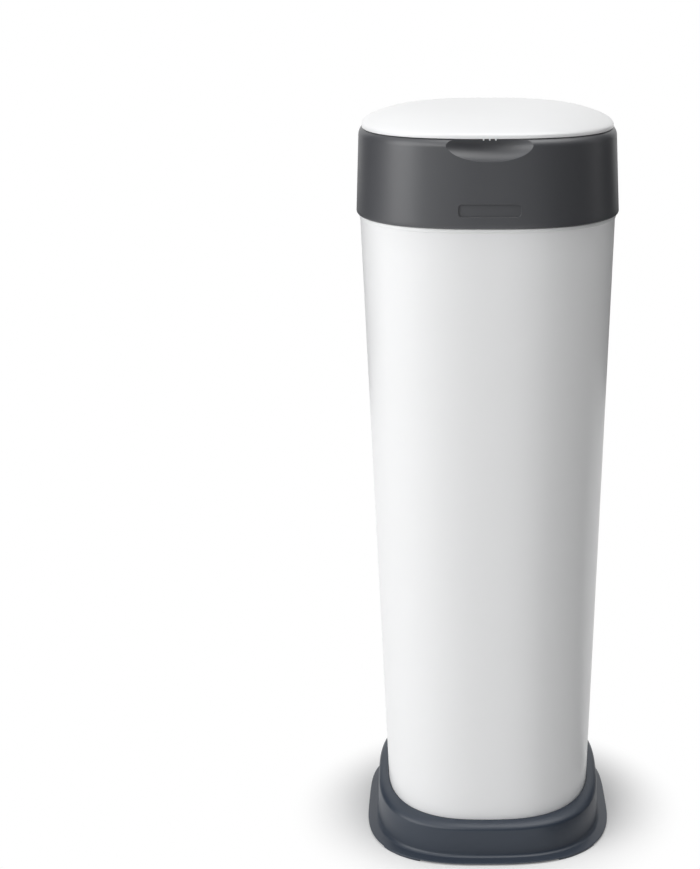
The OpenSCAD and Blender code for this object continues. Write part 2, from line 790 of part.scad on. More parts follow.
// Deck with the well that the cassette turns in, a ledge, a skirt, ribs and bosses
module inner_deck() {
    color(pale) difference() {
        union() {
            difference() {
                plate(head_a - deck_in, head_b - deck_in, deck_z - deck_t, deck_t);
                translate([0, 0, deck_z - deck_t - 1]) cylinder(r = well_r + well_wall / 2, h = deck_t + 2);
                scoop_body(head_wall + gap);
            }
            turned([
                [spigot_r + run_gap, ledge_z], [well_out_r, ledge_z], [well_out_r, deck_z],
                [well_r, deck_z], [well_r, ledge_z + ledge_t], [spigot_r + run_gap, ledge_z + ledge_t]
            ]);
            turned([
                [spigot_r + run_gap, ledge_z], [skirt_r, ledge_z], [skirt_r, skirt_z],
                [skirt_out_r, skirt_z], [skirt_out_r, ledge_z + ledge_t],
                [spigot_r + run_gap, ledge_z + ledge_t]
            ]);
            deck_ribs();
            at_diagonals(clamp_screw_r)
                translate([0, 0, skirt_z]) cylinder(r = boss_r, h = ledge_z - skirt_z + 1);
            rotate([0, 0, pawl_angle]) translate([pawl_r, 0, ledge_z - 1]) cylinder(r = pawl_hub_r, h = 2);
        }
        at_corners(deck_screw_x, deck_screw_y)
            translate([0, 0, deck_z - deck_t - 1]) cylinder(r = screw_pass_r, h = deck_t + 2);
        at_diagonals(clamp_screw_r)
            translate([0, 0, skirt_z - 1]) cylinder(r = screw_hole_r, h = ratchet_space);
        rotate([0, 0, pawl_angle])
            translate([pawl_r, 0, ledge_z - 2]) cylinder(r = pawl_pin_r + hold_gap, h = 3.6);
    }
}

// Upright ribs under the deck, between the well and the collar
module deck_ribs() {
    start = well_out_r - 1;
    side_end = head_a - deck_in - rib_margin;
    corner_end = deck_screw_d - boss_r - gap;
    for (t = [0:45:315])
        rotate([0, 0, t]) translate([start, -rib_t / 2, deck_z - deck_t - rib_h])
            cube([(t % 90 == 0 ? side_end : corner_end) - start, rib_t, rib_h + 1]);
}

// Screws from the deck into the collar
module deck_screws() {
    color("silver") at_corners(deck_screw_x, deck_screw_y)
        translate([0, 0, deck_z - deck_t]) screw(deck_t + deck_screw_grip);
}

// Soft ring of sprung fingers under the well
module film_gripper() {
    thick = 1.4;
    root_z = gripper_z + gripper_t / 2;
    tip_z = gripper_z - finger_drop;
    color("#5b6068") difference() {
        union() {
            washer(finger_root_r, skirt_out_r, gripper_z, gripper_t);
            turned([
                [finger_tip_r, tip_z], [finger_tip_r, tip_z + thick],
                [finger_root_r, root_z + thick / 2], [finger_root_r + 1, root_z],
                [finger_root_r, root_z - thick / 2]
            ]);
        }
        for (i = [0:finger_count - 1])
            rotate([0, 0, 360 * (i + 0.5) / finger_count])
                translate([0, -finger_slot / 2, tip_z - 1])
                    cube([finger_root_r - 1, finger_slot, finger_drop + gripper_t + 2]);
        at_diagonals(clamp_screw_r)
            translate([0, 0, gripper_z - 1]) cylinder(r = screw_pass_r, h = gripper_t + 2);
    }
}

// Clamp ring under the gripper, with the cutter's T-shaped rail at the front
module gripper_clamp() {
    color(grey) difference() {
        union() {
            washer(clamp_in_r, skirt_out_r, clamp_z, clamp_t);
            translate([-rail_l / 2, -rail_y - rail_t / 2, rail_foot_z])
                cube([rail_l, rail_t, clamp_z - rail_foot_z + 1]);
            translate([-rail_l / 2, -rail_y - rail_w / 2, rail_foot_z]) cube([rail_l, rail_w, rail_t]);
        }
        at_diagonals(clamp_screw_r)
            translate([0, 0, clamp_z - 1]) cylinder(r = screw_pass_r, h = clamp_t + 2);
    }
}

// Screws from the clamp into the deck's bosses
module clamp_screws() {
    color("silver") at_diagonals(clamp_screw_r)
        translate([0, 0, clamp_z]) screw(clamp_t + gripper_t + ratchet_space - 2.5);
}

// Carriage that wraps the rail's foot, with a finger tab and a slot for the blade
module cutter_slide() {
    inner_w = rail_w + 2 * slide_in;
    outer_w = inner_w + 2 * slide_wall;
    top_z = rail_z + slide_in + slide_wall;
    color("#c9ccd0") difference() {
        union() {
            translate([slide_x - slide_l / 2, -rail_y - outer_w / 2, slide_bottom_z])
                cube([slide_l, outer_w, top_z - slide_bottom_z]);
            translate([slide_x - 4, -rail_y - outer_w / 2 - 5, slide_bottom_z]) cube([8, 6, 2.6]);
        }
        translate([slide_x - slide_l, -rail_y - inner_w / 2, rail_foot_z - slide_in])
            cube([2 * slide_l, inner_w, rail_t + 2 * slide_in]);
        translate([slide_x - slide_l, -rail_y - rail_t / 2 - slide_in, rail_foot_z])
            cube([2 * slide_l, rail_t + 2 * slide_in, top_z]);
        cutter_blade_form(hold_gap);
    }
}

// Outline of the blade: a tang in the carriage and a hooked edge
module cutter_blade_form(extra) {
    tang = 4;
    y0 = -rail_y + rail_w / 2 + slide_in + slide_wall;
    z = slide_bottom_z + slide_wall / 2;
    translate([slide_x, y0, z - blade_t / 2 - extra])
        linear_extrude(height = blade_t + 2 * extra)
            polygon([
                [-5 - extra, -tang - extra], [5 + extra, -tang - extra], [5 + extra, blade_reach * 0.35],
                [2.2, blade_reach * 0.3], [5, blade_reach], [-5 - extra, blade_reach * 0.55]
            ]);
}

// Blade of the cutter
module cutter_blade() {
    color("silver") cutter_blade_form(0);
}

// Pawl: hub on the pin and an arm whose end meets a tooth's steep face
module ratchet_pawl() {
    z = ratchet_z + 0.4;
    t = ratchet_t - 1.2;
    inner = tooth_r - tooth_h + gap;
    outer = tooth_r + 0.8;
    color("#d8d9d6") rotate([0, 0, pawl_angle]) difference() {
        union() {
            translate([pawl_r, 0, z]) cylinder(r = pawl_hub_r, h = t);
            translate([0, 0, z]) linear_extrude(height = t) polygon([
                [inner * cos(tip_angle), inner * sin(tip_angle)],
                [outer * cos(tip_angle), outer * sin(tip_angle)],
                [pawl_r + pawl_hub_r * 0.6, -pawl_hub_r * 0.6],
                [pawl_r, pawl_hub_r * 0.5],
                [pawl_r - pawl_hub_r * 0.8, -pawl_hub_r * 0.3]
            ]);
        }
        translate([pawl_r, 0, z - 1]) cylinder(r = pawl_pin_r + run_gap, h = t + 2);
    }
}

// Pin of the pawl, with a head that carries the spring
module pawl_pin() {
    low = skirt_z + 0.3;
    color("silver") rotate([0, 0, pawl_angle]) translate([pawl_r, 0, 0]) union() {
        translate([0, 0, low]) cylinder(r = pawl_pin_r, h = ledge_z + 1.2 - low);
        translate([0, 0, low]) cylinder(r = pawl_hub_r - 0.4, h = 0.8);
    }
}

// Torsion spring under the pawl: a coil with two straight legs, swept as one tube
module pawl_spring() {
    coil_r = pawl_pin_r + spring_wire_r + 0.5;
    low = skirt_z + 1.1 + gap + spring_wire_r;
    high = ratchet_z + 0.4 - gap - spring_wire_r;
    steps = 14;
    turns = spring_turns + 0.25;
    last = floor(turns * steps);
    coil = [
        for (i = [0:last])
            let (t = 360 * i / steps)
            [coil_r * cos(t), coil_r * sin(t), low + (high - low) * i / last]
    ];
    start_leg = [coil_r, -6, low];
    end_dir = 360 * last / steps;
    end_leg = coil[last] + 6 * [-sin(end_dir), cos(end_dir), 0];
    path = concat([start_leg], coil, [end_leg]);
    color("#b9bcc0") rotate([0, 0, pawl_angle]) translate([pawl_r, 0, 0]) tube(path, spring_wire_r, 6);
}

// Round tube along a path
module tube(path, r, n) {
    last = len(path) - 1;
    function heading(i) = path[min(i + 1, last)] - path[max(i - 1, 0)];
    function unit(v) = v / norm(v);
    points = [
        for (i = [0:last])
            let (
                d = unit(heading(i)),
                side = unit(cross(d, [0, 0, 1])),
                up = cross(side, d)
            )
            for (k = [0:n - 1])
                path[i] + r * (cos(360 * k / n) * side + sin(360 * k / n) * up)
    ];
    faces = concat(
        [[for (k = [n - 1:-1:0]) k]],
        [
            for (i = [0:last - 1], k = [0:n - 1])
                let (m = (k + 1) % n)
                each [
                    [i * n + k, i * n + m, (i + 1) * n + m],
                    [i * n + k, (i + 1) * n + m, (i + 1) * n + k]
                ]
        ],
        [[for (k = [0:n - 1]) last * n + k]]
    );
    polyhedron(points = points, faces = faces);
}

// Cup that the cassette stands in, with the spigot that turns in the deck's ledge
module cassette_carrier() {
    lug = lug_angle();
    color(pale) difference() {
        turned([
            [throat_r, spigot_z], [spigot_r, spigot_z], [spigot_r, carrier_floor_z],
            [carrier_r, carrier_floor_z], [carrier_r, twist_z], [carrier_r - carrier_wall, twist_z],
            [carrier_r - carrier_wall, carrier_floor_z + carrier_wall],
            [throat_r, carrier_floor_z + carrier_wall]
        ]);
        for (t = [0:90:270])
            rotate([0, 0, t - lug / 2]) rotate_extrude(angle = lug)
                translate([carrier_r - carrier_wall - 1, twist_z - 3]) square([carrier_wall + 2, 4]);
    }
}

// Angle that a drive lug's notch spans
function lug_angle() = 8;

// Toothed ring keyed on the spigot, under the ledge
module ratchet_ring() {
    pitch = 360 / teeth;
    phase = tip_angle - 0.3;
    root = tooth_r - tooth_h;
    points = [
        for (k = [0:teeth - 1])
            let (t = phase + k * pitch, top = t - tooth_lean)
            each [[tooth_r * cos(top), tooth_r * sin(top)], [root * cos(t), root * sin(t)]]
    ];
    color("#d8d9d6") rotate([0, 0, pawl_angle]) translate([0, 0, ratchet_z]) difference() {
        linear_extrude(height = ratchet_t) polygon(points);
        translate([0, 0, -1]) cylinder(r = spigot_r + hold_gap, h = ratchet_t + 2, $fn = 96);
    }
}

// Ring with finger grips that turns the carrier through four lugs
module twist_ring() {
    slack = 0.4;
    lug = lug_angle() - slack;
    inner = core_r + film_slot + 1.4;
    color(white) union() {
        washer(inner, carrier_r - 0.3, twist_z, twist_t);
        washer(inner, inner + 1.8, cap_z + gap, twist_z - cap_z);
        for (t = [0:90:270])
            rotate([0, 0, t - lug / 2]) rotate_extrude(angle = lug)
                translate([carrier_r - carrier_wall + 0.2, twist_z - 2.6]) square([carrier_wall - 0.7, 3]);
        for (t = [45:90:315])
            rotate([0, 0, t - finger_grip_angle / 2]) rotate_extrude(angle = finger_grip_angle)
                translate([finger_grip_r - 2, twist_z + twist_t / 2])
                    square([4, twist_t / 2 + finger_grip_h]);
    }
}

// Trough of the refill
module cassette_body() {
    w = cassette_wall;
    r0 = core_in_r;
    color("#cfd4d8") turned([
        [r0, cassette_z], [cassette_r, cassette_z], [cassette_r, cassette_top_z],
        [cassette_r - w, cassette_top_z], [cassette_r - w, cassette_z + w],
        [core_r, cassette_z + w], [core_r, core_top_z], [r0, core_top_z]
    ]);
}

// Cover ring of the refill
module cassette_cap() {
    inner = core_r + film_slot;
    rim_out = cassette_r - cassette_wall - 0.1;
    color("#9fb4c4") turned([
        [inner, cassette_top_z], [rim_out - 1.4, cassette_top_z], [rim_out - 1.4, cassette_top_z - 1.4],
        [rim_out, cassette_top_z - 1.4], [rim_out, cassette_top_z], [cassette_r, cassette_top_z],
        [cassette_r, cap_z], [inner, cap_z]
    ]);
}

// Pleated stack of film in the trough
module film_pack() {
    low = cassette_z + cassette_wall + gap;
    high = cassette_top_z - 1.4 - gap;
    inner = core_r + film_t + 1;
    outer = cassette_r - cassette_wall - gap;
    step = (high - low) / pleats;
    fold = 1;
    outer_edge = [
        for (i = [0:2 * pleats]) [i % 2 == 0 ? outer : outer - fold, low + step * i / 2]
    ];
    inner_edge = [
        for (i = [2 * pleats:-1:0]) [i % 2 == 0 ? inner : inner + fold, low + step * i / 2]
    ];
    color("#b9d2c4") turned(concat(outer_edge, inner_edge));
}

// Film drawn over the core and down the throat to its closed, knotted end
module film_sleeve() {
    t = film_t;
    pack_top = cassette_top_z - 1.4;
    lead = core_r + 0.4;
    in_r = core_in_r - 0.4;
    throat = throat_r - 0.5;
    top = core_top_z + 0.3;
    tip_r = finger_tip_r - 3;
    tip_z = gripper_z - finger_drop;
    end_z = deck_z - film_drop;
    color("#dfe9e4") turned([
        [lead + t, pack_top], [lead + t, top + t], [in_r - t, top + t],
        [in_r - t, cassette_z + 3.6], [throat - t, cassette_z - 1], [throat - t, skirt_z + 1],
        [throat - t - 5, skirt_z - 3.4], [tip_r + 9 - t, tip_z + 5.6], [tip_r - t, tip_z + 0.6],
        [tip_r - 2 - t, tip_z - 7], [14, end_z + 14], [0, end_z + 9],
        [0, end_z], [4, end_z + 0.6], [5.6, end_z + 3.6], [4.4, end_z + 6.6], [6, end_z + 9],
        [14 + t, end_z + 13.4], [tip_r - 2, tip_z - 7.4], [tip_r, tip_z + 0.2],
        [tip_r + 9, tip_z + 5.2], [throat - 4.8, skirt_z - 4], [throat, skirt_z + 0.8],
        [throat, cassette_z - 0.8], [in_r, cassette_z + 3.8], [in_r, top],
        [lead, top], [lead, pack_top]
    ]);
}

// Domed lid with an upright edge, screw bosses, grip ribs and the swinging knuckles of its hinge
module lid_shell() {
    color(white) difference() {
        union() {
            lid_skin();
            at_corners(lid_screw_x, lid_screw_y) lid_boss();
            for (i = [-1:1])
                translate([i * grip_pitch - 0.6, -lid_b + 0.5, lid_edge_z - grip_h])
                    cube([1.2, 3, grip_h + 2]);
            lid_knuckle_arms();
            rods(swing_spans, lid_barrel_r, lid_axis_y, lid_axis_z);
        }
        rods(notch_spans, lid_barrel_r + pocket_gap, lid_axis_y, lid_axis_z);
        at_corners(lid_screw_x, lid_screw_y)
            translate([0, 0, plug_boss_z() - 1]) cylinder(r = screw_hole_r, h = 8);
        rods([[-swing_to - 1, swing_to + 1]], lid_pin_r + run_gap, lid_axis_y, lid_axis_z);
    }
}

// Arms that join the swinging knuckles to the lid's back edge
module lid_knuckle_arms() {
    y = lid_b - lid_wall + 0.6;
    z = lid_axis_z + 0.6;
    for (s = swing_spans)
        translate([s[0], y, z]) cube([s[1] - s[0], lid_axis_y - y, lid_edge_z + 2 - z]);
}

// Height at which the lid's bosses meet the liner's pads
function plug_boss_z() = shoulder_z - mouth_lip_h + plug_wall + 2.4;

// Boss under the dome
module lid_boss() {
    top = dome_at(share_at(lid_screw_x, lid_screw_y, lid_a, lid_b)) - lid_wall * 0.6;
    low = plug_boss_z() + 0.1;
    translate([0, 0, low]) cylinder(r = boss_r, h = top - low);
}

// Outer and inner skin of the dome
module lid_skin() {
    shares = [0.24, 0.48, 0.66, 0.78, 0.86, 0.92, 0.96, 0.985];
    w = lid_wall;
    chamfer = 0.4;
    in_a = lid_a - w;
    in_b = lid_b - w;
    loft(concat(
        [for (s = shares) ring(in_a * s, in_b * s, dome_at(s) - w)],
        [
            ring(in_a, in_b, dome_z - w * 0.6),
            ring(in_a, in_b, edge_z(lid_inset + w) + lid_gap),
            ring(lid_a - chamfer, lid_b - chamfer, edge_z(lid_inset + chamfer) + lid_gap),
            ring(lid_a, lid_b, lid_edge_z + chamfer),
            ring(lid_a, lid_b, dome_z)
        ],
        [for (k = [len(shares) - 1:-1:0]) ring(lid_a * shares[k], lid_b * shares[k], dome_at(shares[k]))]
    ));
}

// Inner plate of the lid, with the plug wall, the seal's groove and screw pads
module lid_liner() {
    low = shoulder_z - mouth_lip_h;
    high = lid_edge_z + 1;
    groove = groove_low();
    color(pale) difference() {
        union() {
            loft([
                ring(plug_a - 0.8, plug_b - 0.8, low),
                ring(plug_a, plug_b, low + 0.8),
                ring(plug_a, plug_b, groove),
                ring(plug_a - groove_depth, plug_b - groove_depth, groove),
                ring(plug_a - groove_depth, plug_b - groove_depth, groove + seal_h + 0.2),
                ring(plug_a, plug_b, groove + seal_h + 0.2),
                ring(plug_a, plug_b, high),
                ring(plug_a - plug_wall, plug_b - plug_wall, high),
                ring(plug_a - plug_wall, plug_b - plug_wall, low + plug_wall)
            ]);
            at_corners(lid_screw_x, lid_screw_y)
                translate([0, 0, low + 0.5]) cylinder(r = boss_r + 1.6, h = plug_boss_z() - low - 0.5);
        }
        at_corners(lid_screw_x, lid_screw_y) {
            translate([0, 0, low - 1]) cylinder(r = screw_head_r + 0.3, h = screw_head_h + 1.2);
            translate([0, 0, low]) cylinder(r = screw_pass_r, h = 10);
        }
    }
}

// Height of the groove's lower face
function groove_low() = shoulder_z - mouth_lip_h + 2.4;

// Soft seal in the plug's groove
module lid_seal() {
    z = groove_low() + 0.1;
    in_d = groove_depth - 0.1;
    out = plug_gap - gap;
    color("#8c9094") hoop([
        ring(plug_a - in_d, plug_b - in_d, z),
        ring(plug_a, plug_b, z),
        ring(plug_a + out, plug_b + out, z + seal_h * 0.6),
        ring(plug_a + out, plug_b + out, z + seal_h * 0.85),
        ring(plug_a, plug_b, z + seal_h),
        ring(plug_a - in_d, plug_b - in_d, z + seal_h)
    ]);
}

// Screws from the liner into the lid's bosses
module lid_screws() {
    low = shoulder_z - mouth_lip_h;
    color("silver") at_corners(lid_screw_x, lid_screw_y)
        translate([0, 0, low + screw_head_h + 0.2]) screw(plug_boss_z() - low + 4);
}

// Pin of the lid's hinge
module lid_hinge_pin() {
    color("silver") rods([[-hinge_half, hinge_half]], lid_pin_r, lid_axis_y, lid_axis_z);
}

foot_base();
foot_pads();
foot_screws();
tub();
head_hinge_pin();
head_shell();
inner_deck();
deck_screws();
film_gripper();
gripper_clamp();
clamp_screws();
cutter_slide();
cutter_blade();
ratchet_pawl();
pawl_pin();
pawl_spring();
cassette_carrier();
ratchet_ring();
twist_ring();
cassette_body();
cassette_cap();
film_pack();
film_sleeve();
lid_shell();
lid_liner();
lid_seal();
lid_screws();
lid_hinge_pin();
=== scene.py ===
"""Looks of a nappy bin with a tipping head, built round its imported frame.

Lengths are in millimetres until a mesh is finished, and the front is -Y.
"""

from __future__ import annotations

import logging
import math
from collections.abc import Iterable, Sequence
from dataclasses import dataclass, field
from enum import Enum

import bmesh
import bpy
from bmesh.types import BMesh
from mathutils import Matrix, Vector

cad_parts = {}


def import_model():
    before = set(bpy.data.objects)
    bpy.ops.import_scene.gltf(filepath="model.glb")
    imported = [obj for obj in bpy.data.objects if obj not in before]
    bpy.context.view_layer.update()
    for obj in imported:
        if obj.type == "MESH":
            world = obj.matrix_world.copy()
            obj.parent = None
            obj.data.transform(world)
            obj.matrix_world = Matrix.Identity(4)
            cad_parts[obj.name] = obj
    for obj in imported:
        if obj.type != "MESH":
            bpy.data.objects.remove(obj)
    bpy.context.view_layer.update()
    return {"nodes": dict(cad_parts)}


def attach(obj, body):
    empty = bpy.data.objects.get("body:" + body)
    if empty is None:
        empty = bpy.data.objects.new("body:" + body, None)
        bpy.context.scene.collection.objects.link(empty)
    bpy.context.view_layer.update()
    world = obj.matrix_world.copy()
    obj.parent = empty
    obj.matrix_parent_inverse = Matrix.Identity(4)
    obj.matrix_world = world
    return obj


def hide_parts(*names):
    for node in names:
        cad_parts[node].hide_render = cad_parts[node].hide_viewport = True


LOG = logging.getLogger("nappy_bin")
MM = 0.001  # metres in a millimetre
SIDES = 240  # steps of a full turn
ROD_SIDES = 48
FULL_TURN = 360
DEPTH_RATIO = 1.04  # depth of the tub and the foot over their width
SPINE_X = 100.0  # start of the numbered points that are spun
DOUBLE = 1e-4  # distance under which two points are one, in millimetres
NODE_DOUBLE = 1e-6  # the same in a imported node, in metres
FOLD = 1.0  # angle past which an edge is rounded, in radians

Point = tuple[float, float, float]
Place = tuple[float, float]


# Outlines


@dataclass(frozen=True)
class Section:
    """Rounded square seen from above.

    Args:
        half_w: half width along X.
        half_d: half depth along Y.
        square: squareness, 2 being an ellipse.
        back: squareness of the back half, where it differs.
    """

    half_w: float
    half_d: float
    square: float
    back: float = 0.0

    @classmethod
    def deep(cls, half: float, square: float, back: float = 0.0) -> "Section":
        """Section of a half width, with the depth of the tub and the foot."""
        return cls(half, half * DEPTH_RATIO, square, back)

    def less(self, inset: float) -> "Section":
        """The section with both half sizes smaller."""
        return Section(self.half_w - inset, self.half_d - inset, self.square)

    def at(self, turn: float, inset: float = 0.0, share: float = 1.0) -> Vector:
        """Point of the outline.

        Args:
            turn: angle from +X, in radians.
            inset: distance that both half sizes are smaller by.
            share: factor on both half sizes.

        Returns:
            The point, with Z at 0.
        """
        c, s = math.cos(turn), math.sin(turn)
        power = self.back if self.back and s > 0 else self.square
        reach = (abs(c) ** power + abs(s) ** power) ** (-1 / power)
        half_w, half_d = self.half_w * share - inset, self.half_d * share - inset
        return Vector((half_w * c * reach, half_d * s * reach, 0.0))


@dataclass(frozen=True)
class Ring:
    """One level of a shell: a section, shrunk, lifted and tilted towards the back."""

    section: Section
    z: float
    inset: float = 0.0
    share: float = 1.0
    slope: float = 0.0

    def at(self, turn: float) -> Vector:
        """Point of the ring at an angle."""
        point = self.section.at(turn, self.inset, self.share)
        point.z = self.z + self.slope * point.y
        return point


@dataclass(frozen=True)
class Between:
    """A ring part of the way from one ring to another."""

    start: Ring | "Sleeve"
    end: Ring | "Sleeve"
    share: float

    def at(self, turn: float) -> Vector:
        """Point of the ring at an angle."""
        return self.start.at(turn).lerp(self.end.at(turn), self.share)


@dataclass(frozen=True)
class Taper:
    """The tub's outer face: its half width at the floor and at the seat of the collar."""

    low_z: float = 7.0
    high_z: float = 576.0
    low_w: float = 92.5
    high_w: float = 110.1
    square: float = 2.6

    def half_w(self, z: float) -> float:
        """Half width at a height."""
        return self.low_w + (self.high_w - self.low_w) * (z - self.low_z) / (self.high_z - self.low_z)

    def section(self, z: float) -> Section:
        """Section at a height."""
        return Section.deep(self.half_w(z), self.square)


@dataclass(frozen=True)
class Sleeve:
    """Ring that follows the tub's face at a clearance, along a plane that rises towards the back."""

    taper: Taper
    z: float
    out: float
    slope: float = 0.0

    def at(self, turn: float) -> Vector:
        """Point of the ring at an angle."""
        middle = self.taper.section(self.z).at(turn)
        z = self.z + self.slope * middle.y
        share = (self.taper.half_w(z) + self.out) / self.taper.half_w(self.z)
        return Vector((middle.x * share, middle.y * share, z))


@dataclass(frozen=True)
class Round:
    """Ring of revolution with an optional ripple that only goes inwards."""

    radius: float
    z: float
    ripple: float = 0.0
    folds: int = 0

    def at(self, turn: float) -> Vector:
        """Point of the ring at an angle."""
        wave = 0.5 - 0.5 * math.cos(self.folds * turn + 0.6 * math.sin(3 * turn))
        radius = max(self.radius - self.ripple * wave, 0.0)
        return Vector((radius * math.cos(turn), radius * math.sin(turn), self.z))


AnyRing = Ring | Between | Sleeve | Round


def stacked(section: Section, points: Iterable[Place]) -> list[Ring]:
    """Rings of one section from pairs of inset and height."""
    return [Ring(section, z, inset) for inset, z in points]


def capped(section: Section, z: float, *shares: float) -> list[Ring]:
    """Rings that close a section at a height."""
    return [Ring(section, z, share=share) for share in shares]


def quarter(steps: int) -> list[float]:
    """Angles of a quarter turn, in radians."""
    return [math.pi / 2 * k / steps for k in range(steps + 1)]


def corners(x: float, y: float) -> list[Place]:
    """The four mirrored places of a point."""
    return [(sx * x, sy * y) for sx in (-1, 1) for sy in (-1, 1)]


def arc(centre: Place, radius: float, start: float, end: float, steps: int) -> list[Place]:
    """Points of an arc.

    Args:
        centre: middle of the arc.
        radius: its radius.
        start: first angle, in degrees.
        end: last angle, in degrees.
        steps: how many chords it has.

    Returns:
        The points, ends included.
    """
    turns = [math.radians(start + (end - start) * k / steps) for k in range(steps + 1)]
    return [(centre[0] + radius * math.cos(t), centre[1] + radius * math.sin(t)) for t in turns]


# Meshes


def chain(shape: BMesh, points: Iterable[Point], closed: bool = False) -> list[object]:
    """Adds points joined in a row or a loop, and returns them with their edges."""
    line = [shape.verts.new(point) for point in points]
    following = line[1:] + line[:1] if closed else line[1:]
    return [*line, *(shape.edges.new(pair) for pair in zip(line, following))]


def sweep(shape: BMesh, geom: Iterable[object], degrees: float, steps: int, axis: Point = (0, 0, 1)) -> None:
    """Spins geometry round an axis through the origin.

    Args:
        shape: the mesh.
        geom: what is spun.
        degrees: angle; a full turn is merged with its start.
        steps: how many steps it has.
        axis: direction of the axis.
    """
    bmesh.ops.spin(
        shape, geom=list(geom), cent=(0, 0, 0), axis=axis, dvec=(0, 0, 0), angle=math.radians(degrees),
        steps=steps, use_merge=degrees == FULL_TURN, use_normal_flip=False, use_duplicate=False,
    )


def spin_rings(rings: Sequence[AnyRing], closed: bool = False, sides: int = SIDES) -> BMesh:
    """Spins a spine of numbered points and moves each ring onto its own outline.

    Args:
        rings: outlines in order along the profile.
        closed: whether the last ring joins the first.
        sides: how many steps the full turn has.

    Returns:
        The shell, with its seam and poles merged and its faces outwards.
    """
    shell = bmesh.new()
    spine = chain(shell, [(SPINE_X + k, 0.0, float(k)) for k in range(len(rings))], closed)
    sweep(shell, spine, FULL_TURN, sides)
    for vert in shell.verts:
        vert.co = rings[round(vert.co.z)].at(math.atan2(vert.co.y, vert.co.x))
    return tidied(shell)


def tidied(shell: BMesh) -> BMesh:
    """Merges doubles and turns the faces outwards."""
    bmesh.ops.remove_doubles(shell, verts=shell.verts, dist=DOUBLE)
    bmesh.ops.recalc_face_normals(shell, faces=shell.faces)
    return shell


def soften(shape: BMesh, width: float, segments: int = 3) -> None:
    """Rounds the sharp edges of a mesh, unless the width is 0."""
    if width:
        sharp = [edge for edge in shape.edges if edge.calc_face_angle(0.0) > FOLD]
        bmesh.ops.bevel(
            shape, geom=sharp, offset=width, segments=segments, profile=0.5, affect="EDGES", material=-1
        )


def rod(start: Point, end: Point, radius: float, edge: float = 0.0) -> BMesh:
    """Round rod between two points.

    Args:
        start: middle of the first end.
        end: middle of the other end.
        radius: its radius.
        edge: rounding of its end edges.

    Returns:
        The closed rod.
    """
    shape = bmesh.new()
    first, last = Vector(start), Vector(end)
    along = last - first
    place = Matrix.Translation((first + last) / 2) @ along.to_track_quat("Z", "Y").to_matrix().to_4x4()
    bmesh.ops.create_cone(
        shape, cap_ends=True, segments=ROD_SIDES, radius1=radius, radius2=radius, depth=along.length,
        matrix=place,
    )
    soften(shape, edge)
    return shape


def posts(places: Iterable[Place], low: float, high: float, radius: float, edge: float = 0.0) -> BMesh:
    """Upright rods.

    Args:
        places: where they stand.
        low: height of their lower ends.
        high: height of their upper ends.
        radius: their radius.
        edge: rounding of their end edges.

    Returns:
        The rods in one mesh.
    """
    return merged(rod((x, y, low), (x, y, high), radius, edge) for x, y in places)


def block(low: Point, high: Point, edge: float = 0.0) -> BMesh:
    """Rounded block between two corners.

    Args:
        low: lowest corner.
        high: highest corner.
        edge: rounding of its edges.

    Returns:
        The closed block.
    """
    shape = bmesh.new()
    first, last = Vector(low), Vector(high)
    place = Matrix.Translation((first + last) / 2) @ Matrix.Diagonal((*(last - first), 1.0))
    bmesh.ops.create_cube(shape, size=1.0, matrix=place)
    soften(shape, edge)
    return shape


def linked(name: str, shape: BMesh) -> bpy.types.Object:
    """Makes a mesh an object of the scene and frees it."""
    mesh = bpy.data.meshes.new(name)
    shape.to_mesh(mesh)
    shape.free()
    thing = bpy.data.objects.new(name, mesh)
    bpy.context.scene.collection.objects.link(thing)
    return thing


def merged(shapes: Iterable[BMesh]) -> BMesh:
    """Puts several meshes into one, side by side."""
    whole = bmesh.new()
    for shape in shapes:
        mesh = bpy.data.meshes.new("part")
        shape.to_mesh(mesh)
        shape.free()
        whole.from_mesh(mesh)
        bpy.data.meshes.remove(mesh)
    return whole


class Cut(Enum):
    """Ways to combine two closed meshes."""

    TAKE = "DIFFERENCE"
    ADD = "UNION"
    KEEP = "INTERSECT"


def combined(base: BMesh, tool: BMesh, how: Cut) -> BMesh:
    """Combines two closed meshes.

    Args:
        base: mesh that is changed.
        tool: mesh that changes it.
        how: whether the tool is taken away, added or kept in common.

    Returns:
        The new mesh; both given meshes are freed.
    """
    things = [linked("shape", shape) for shape in (base, tool)]
    modifier = things[0].modifiers.new("combine", "BOOLEAN")
    modifier.operation, modifier.solver, modifier.object = how.value, "MANIFOLD", things[1]
    bpy.context.view_layer.update()
    result = bmesh.new()
    result.from_object(things[0], bpy.context.evaluated_depsgraph_get())
    for thing in things:
        mesh = thing.data
        bpy.data.objects.remove(thing)
        bpy.data.meshes.remove(mesh)
    bmesh.ops.remove_doubles(result, verts=result.verts, dist=DOUBLE)
    return result


# Materials


class Wire:
    """A shader socket that takes arithmetic and adds the Math nodes for it."""

    def __init__(self, graph: "Graph", socket: bpy.types.NodeSocket) -> None:
        """Wraps a socket of a graph."""
        self.graph = graph
        self.socket = socket

    def _math(self, operation: str, first: "Wire | float", second: "Wire | float") -> "Wire":
        """Adds one Math node for two values."""
        return self.graph.add("ShaderNodeMath", {"operation": operation}, {0: first, 1: second})

    def __add__(self, other: "Wire | float") -> "Wire":
        """Sum."""
        return self._math("ADD", self, other)

    __radd__ = __add__

    def __sub__(self, other: "Wire | float") -> "Wire":
        """Difference."""
        return self._math("SUBTRACT", self, other)

    def __rsub__(self, other: "Wire | float") -> "Wire":
        """Difference from a number."""
        return self._math("SUBTRACT", other, self)

    def __mul__(self, other: "Wire | float") -> "Wire":
        """Product."""
        return self._math("MULTIPLY", self, other)

    __rmul__ = __mul__

    def greatest(self, other: "Wire | float") -> "Wire":
        """The greater of two values."""
        return self._math("MAXIMUM", self, other)


Value = Wire | float | tuple[float, ...]


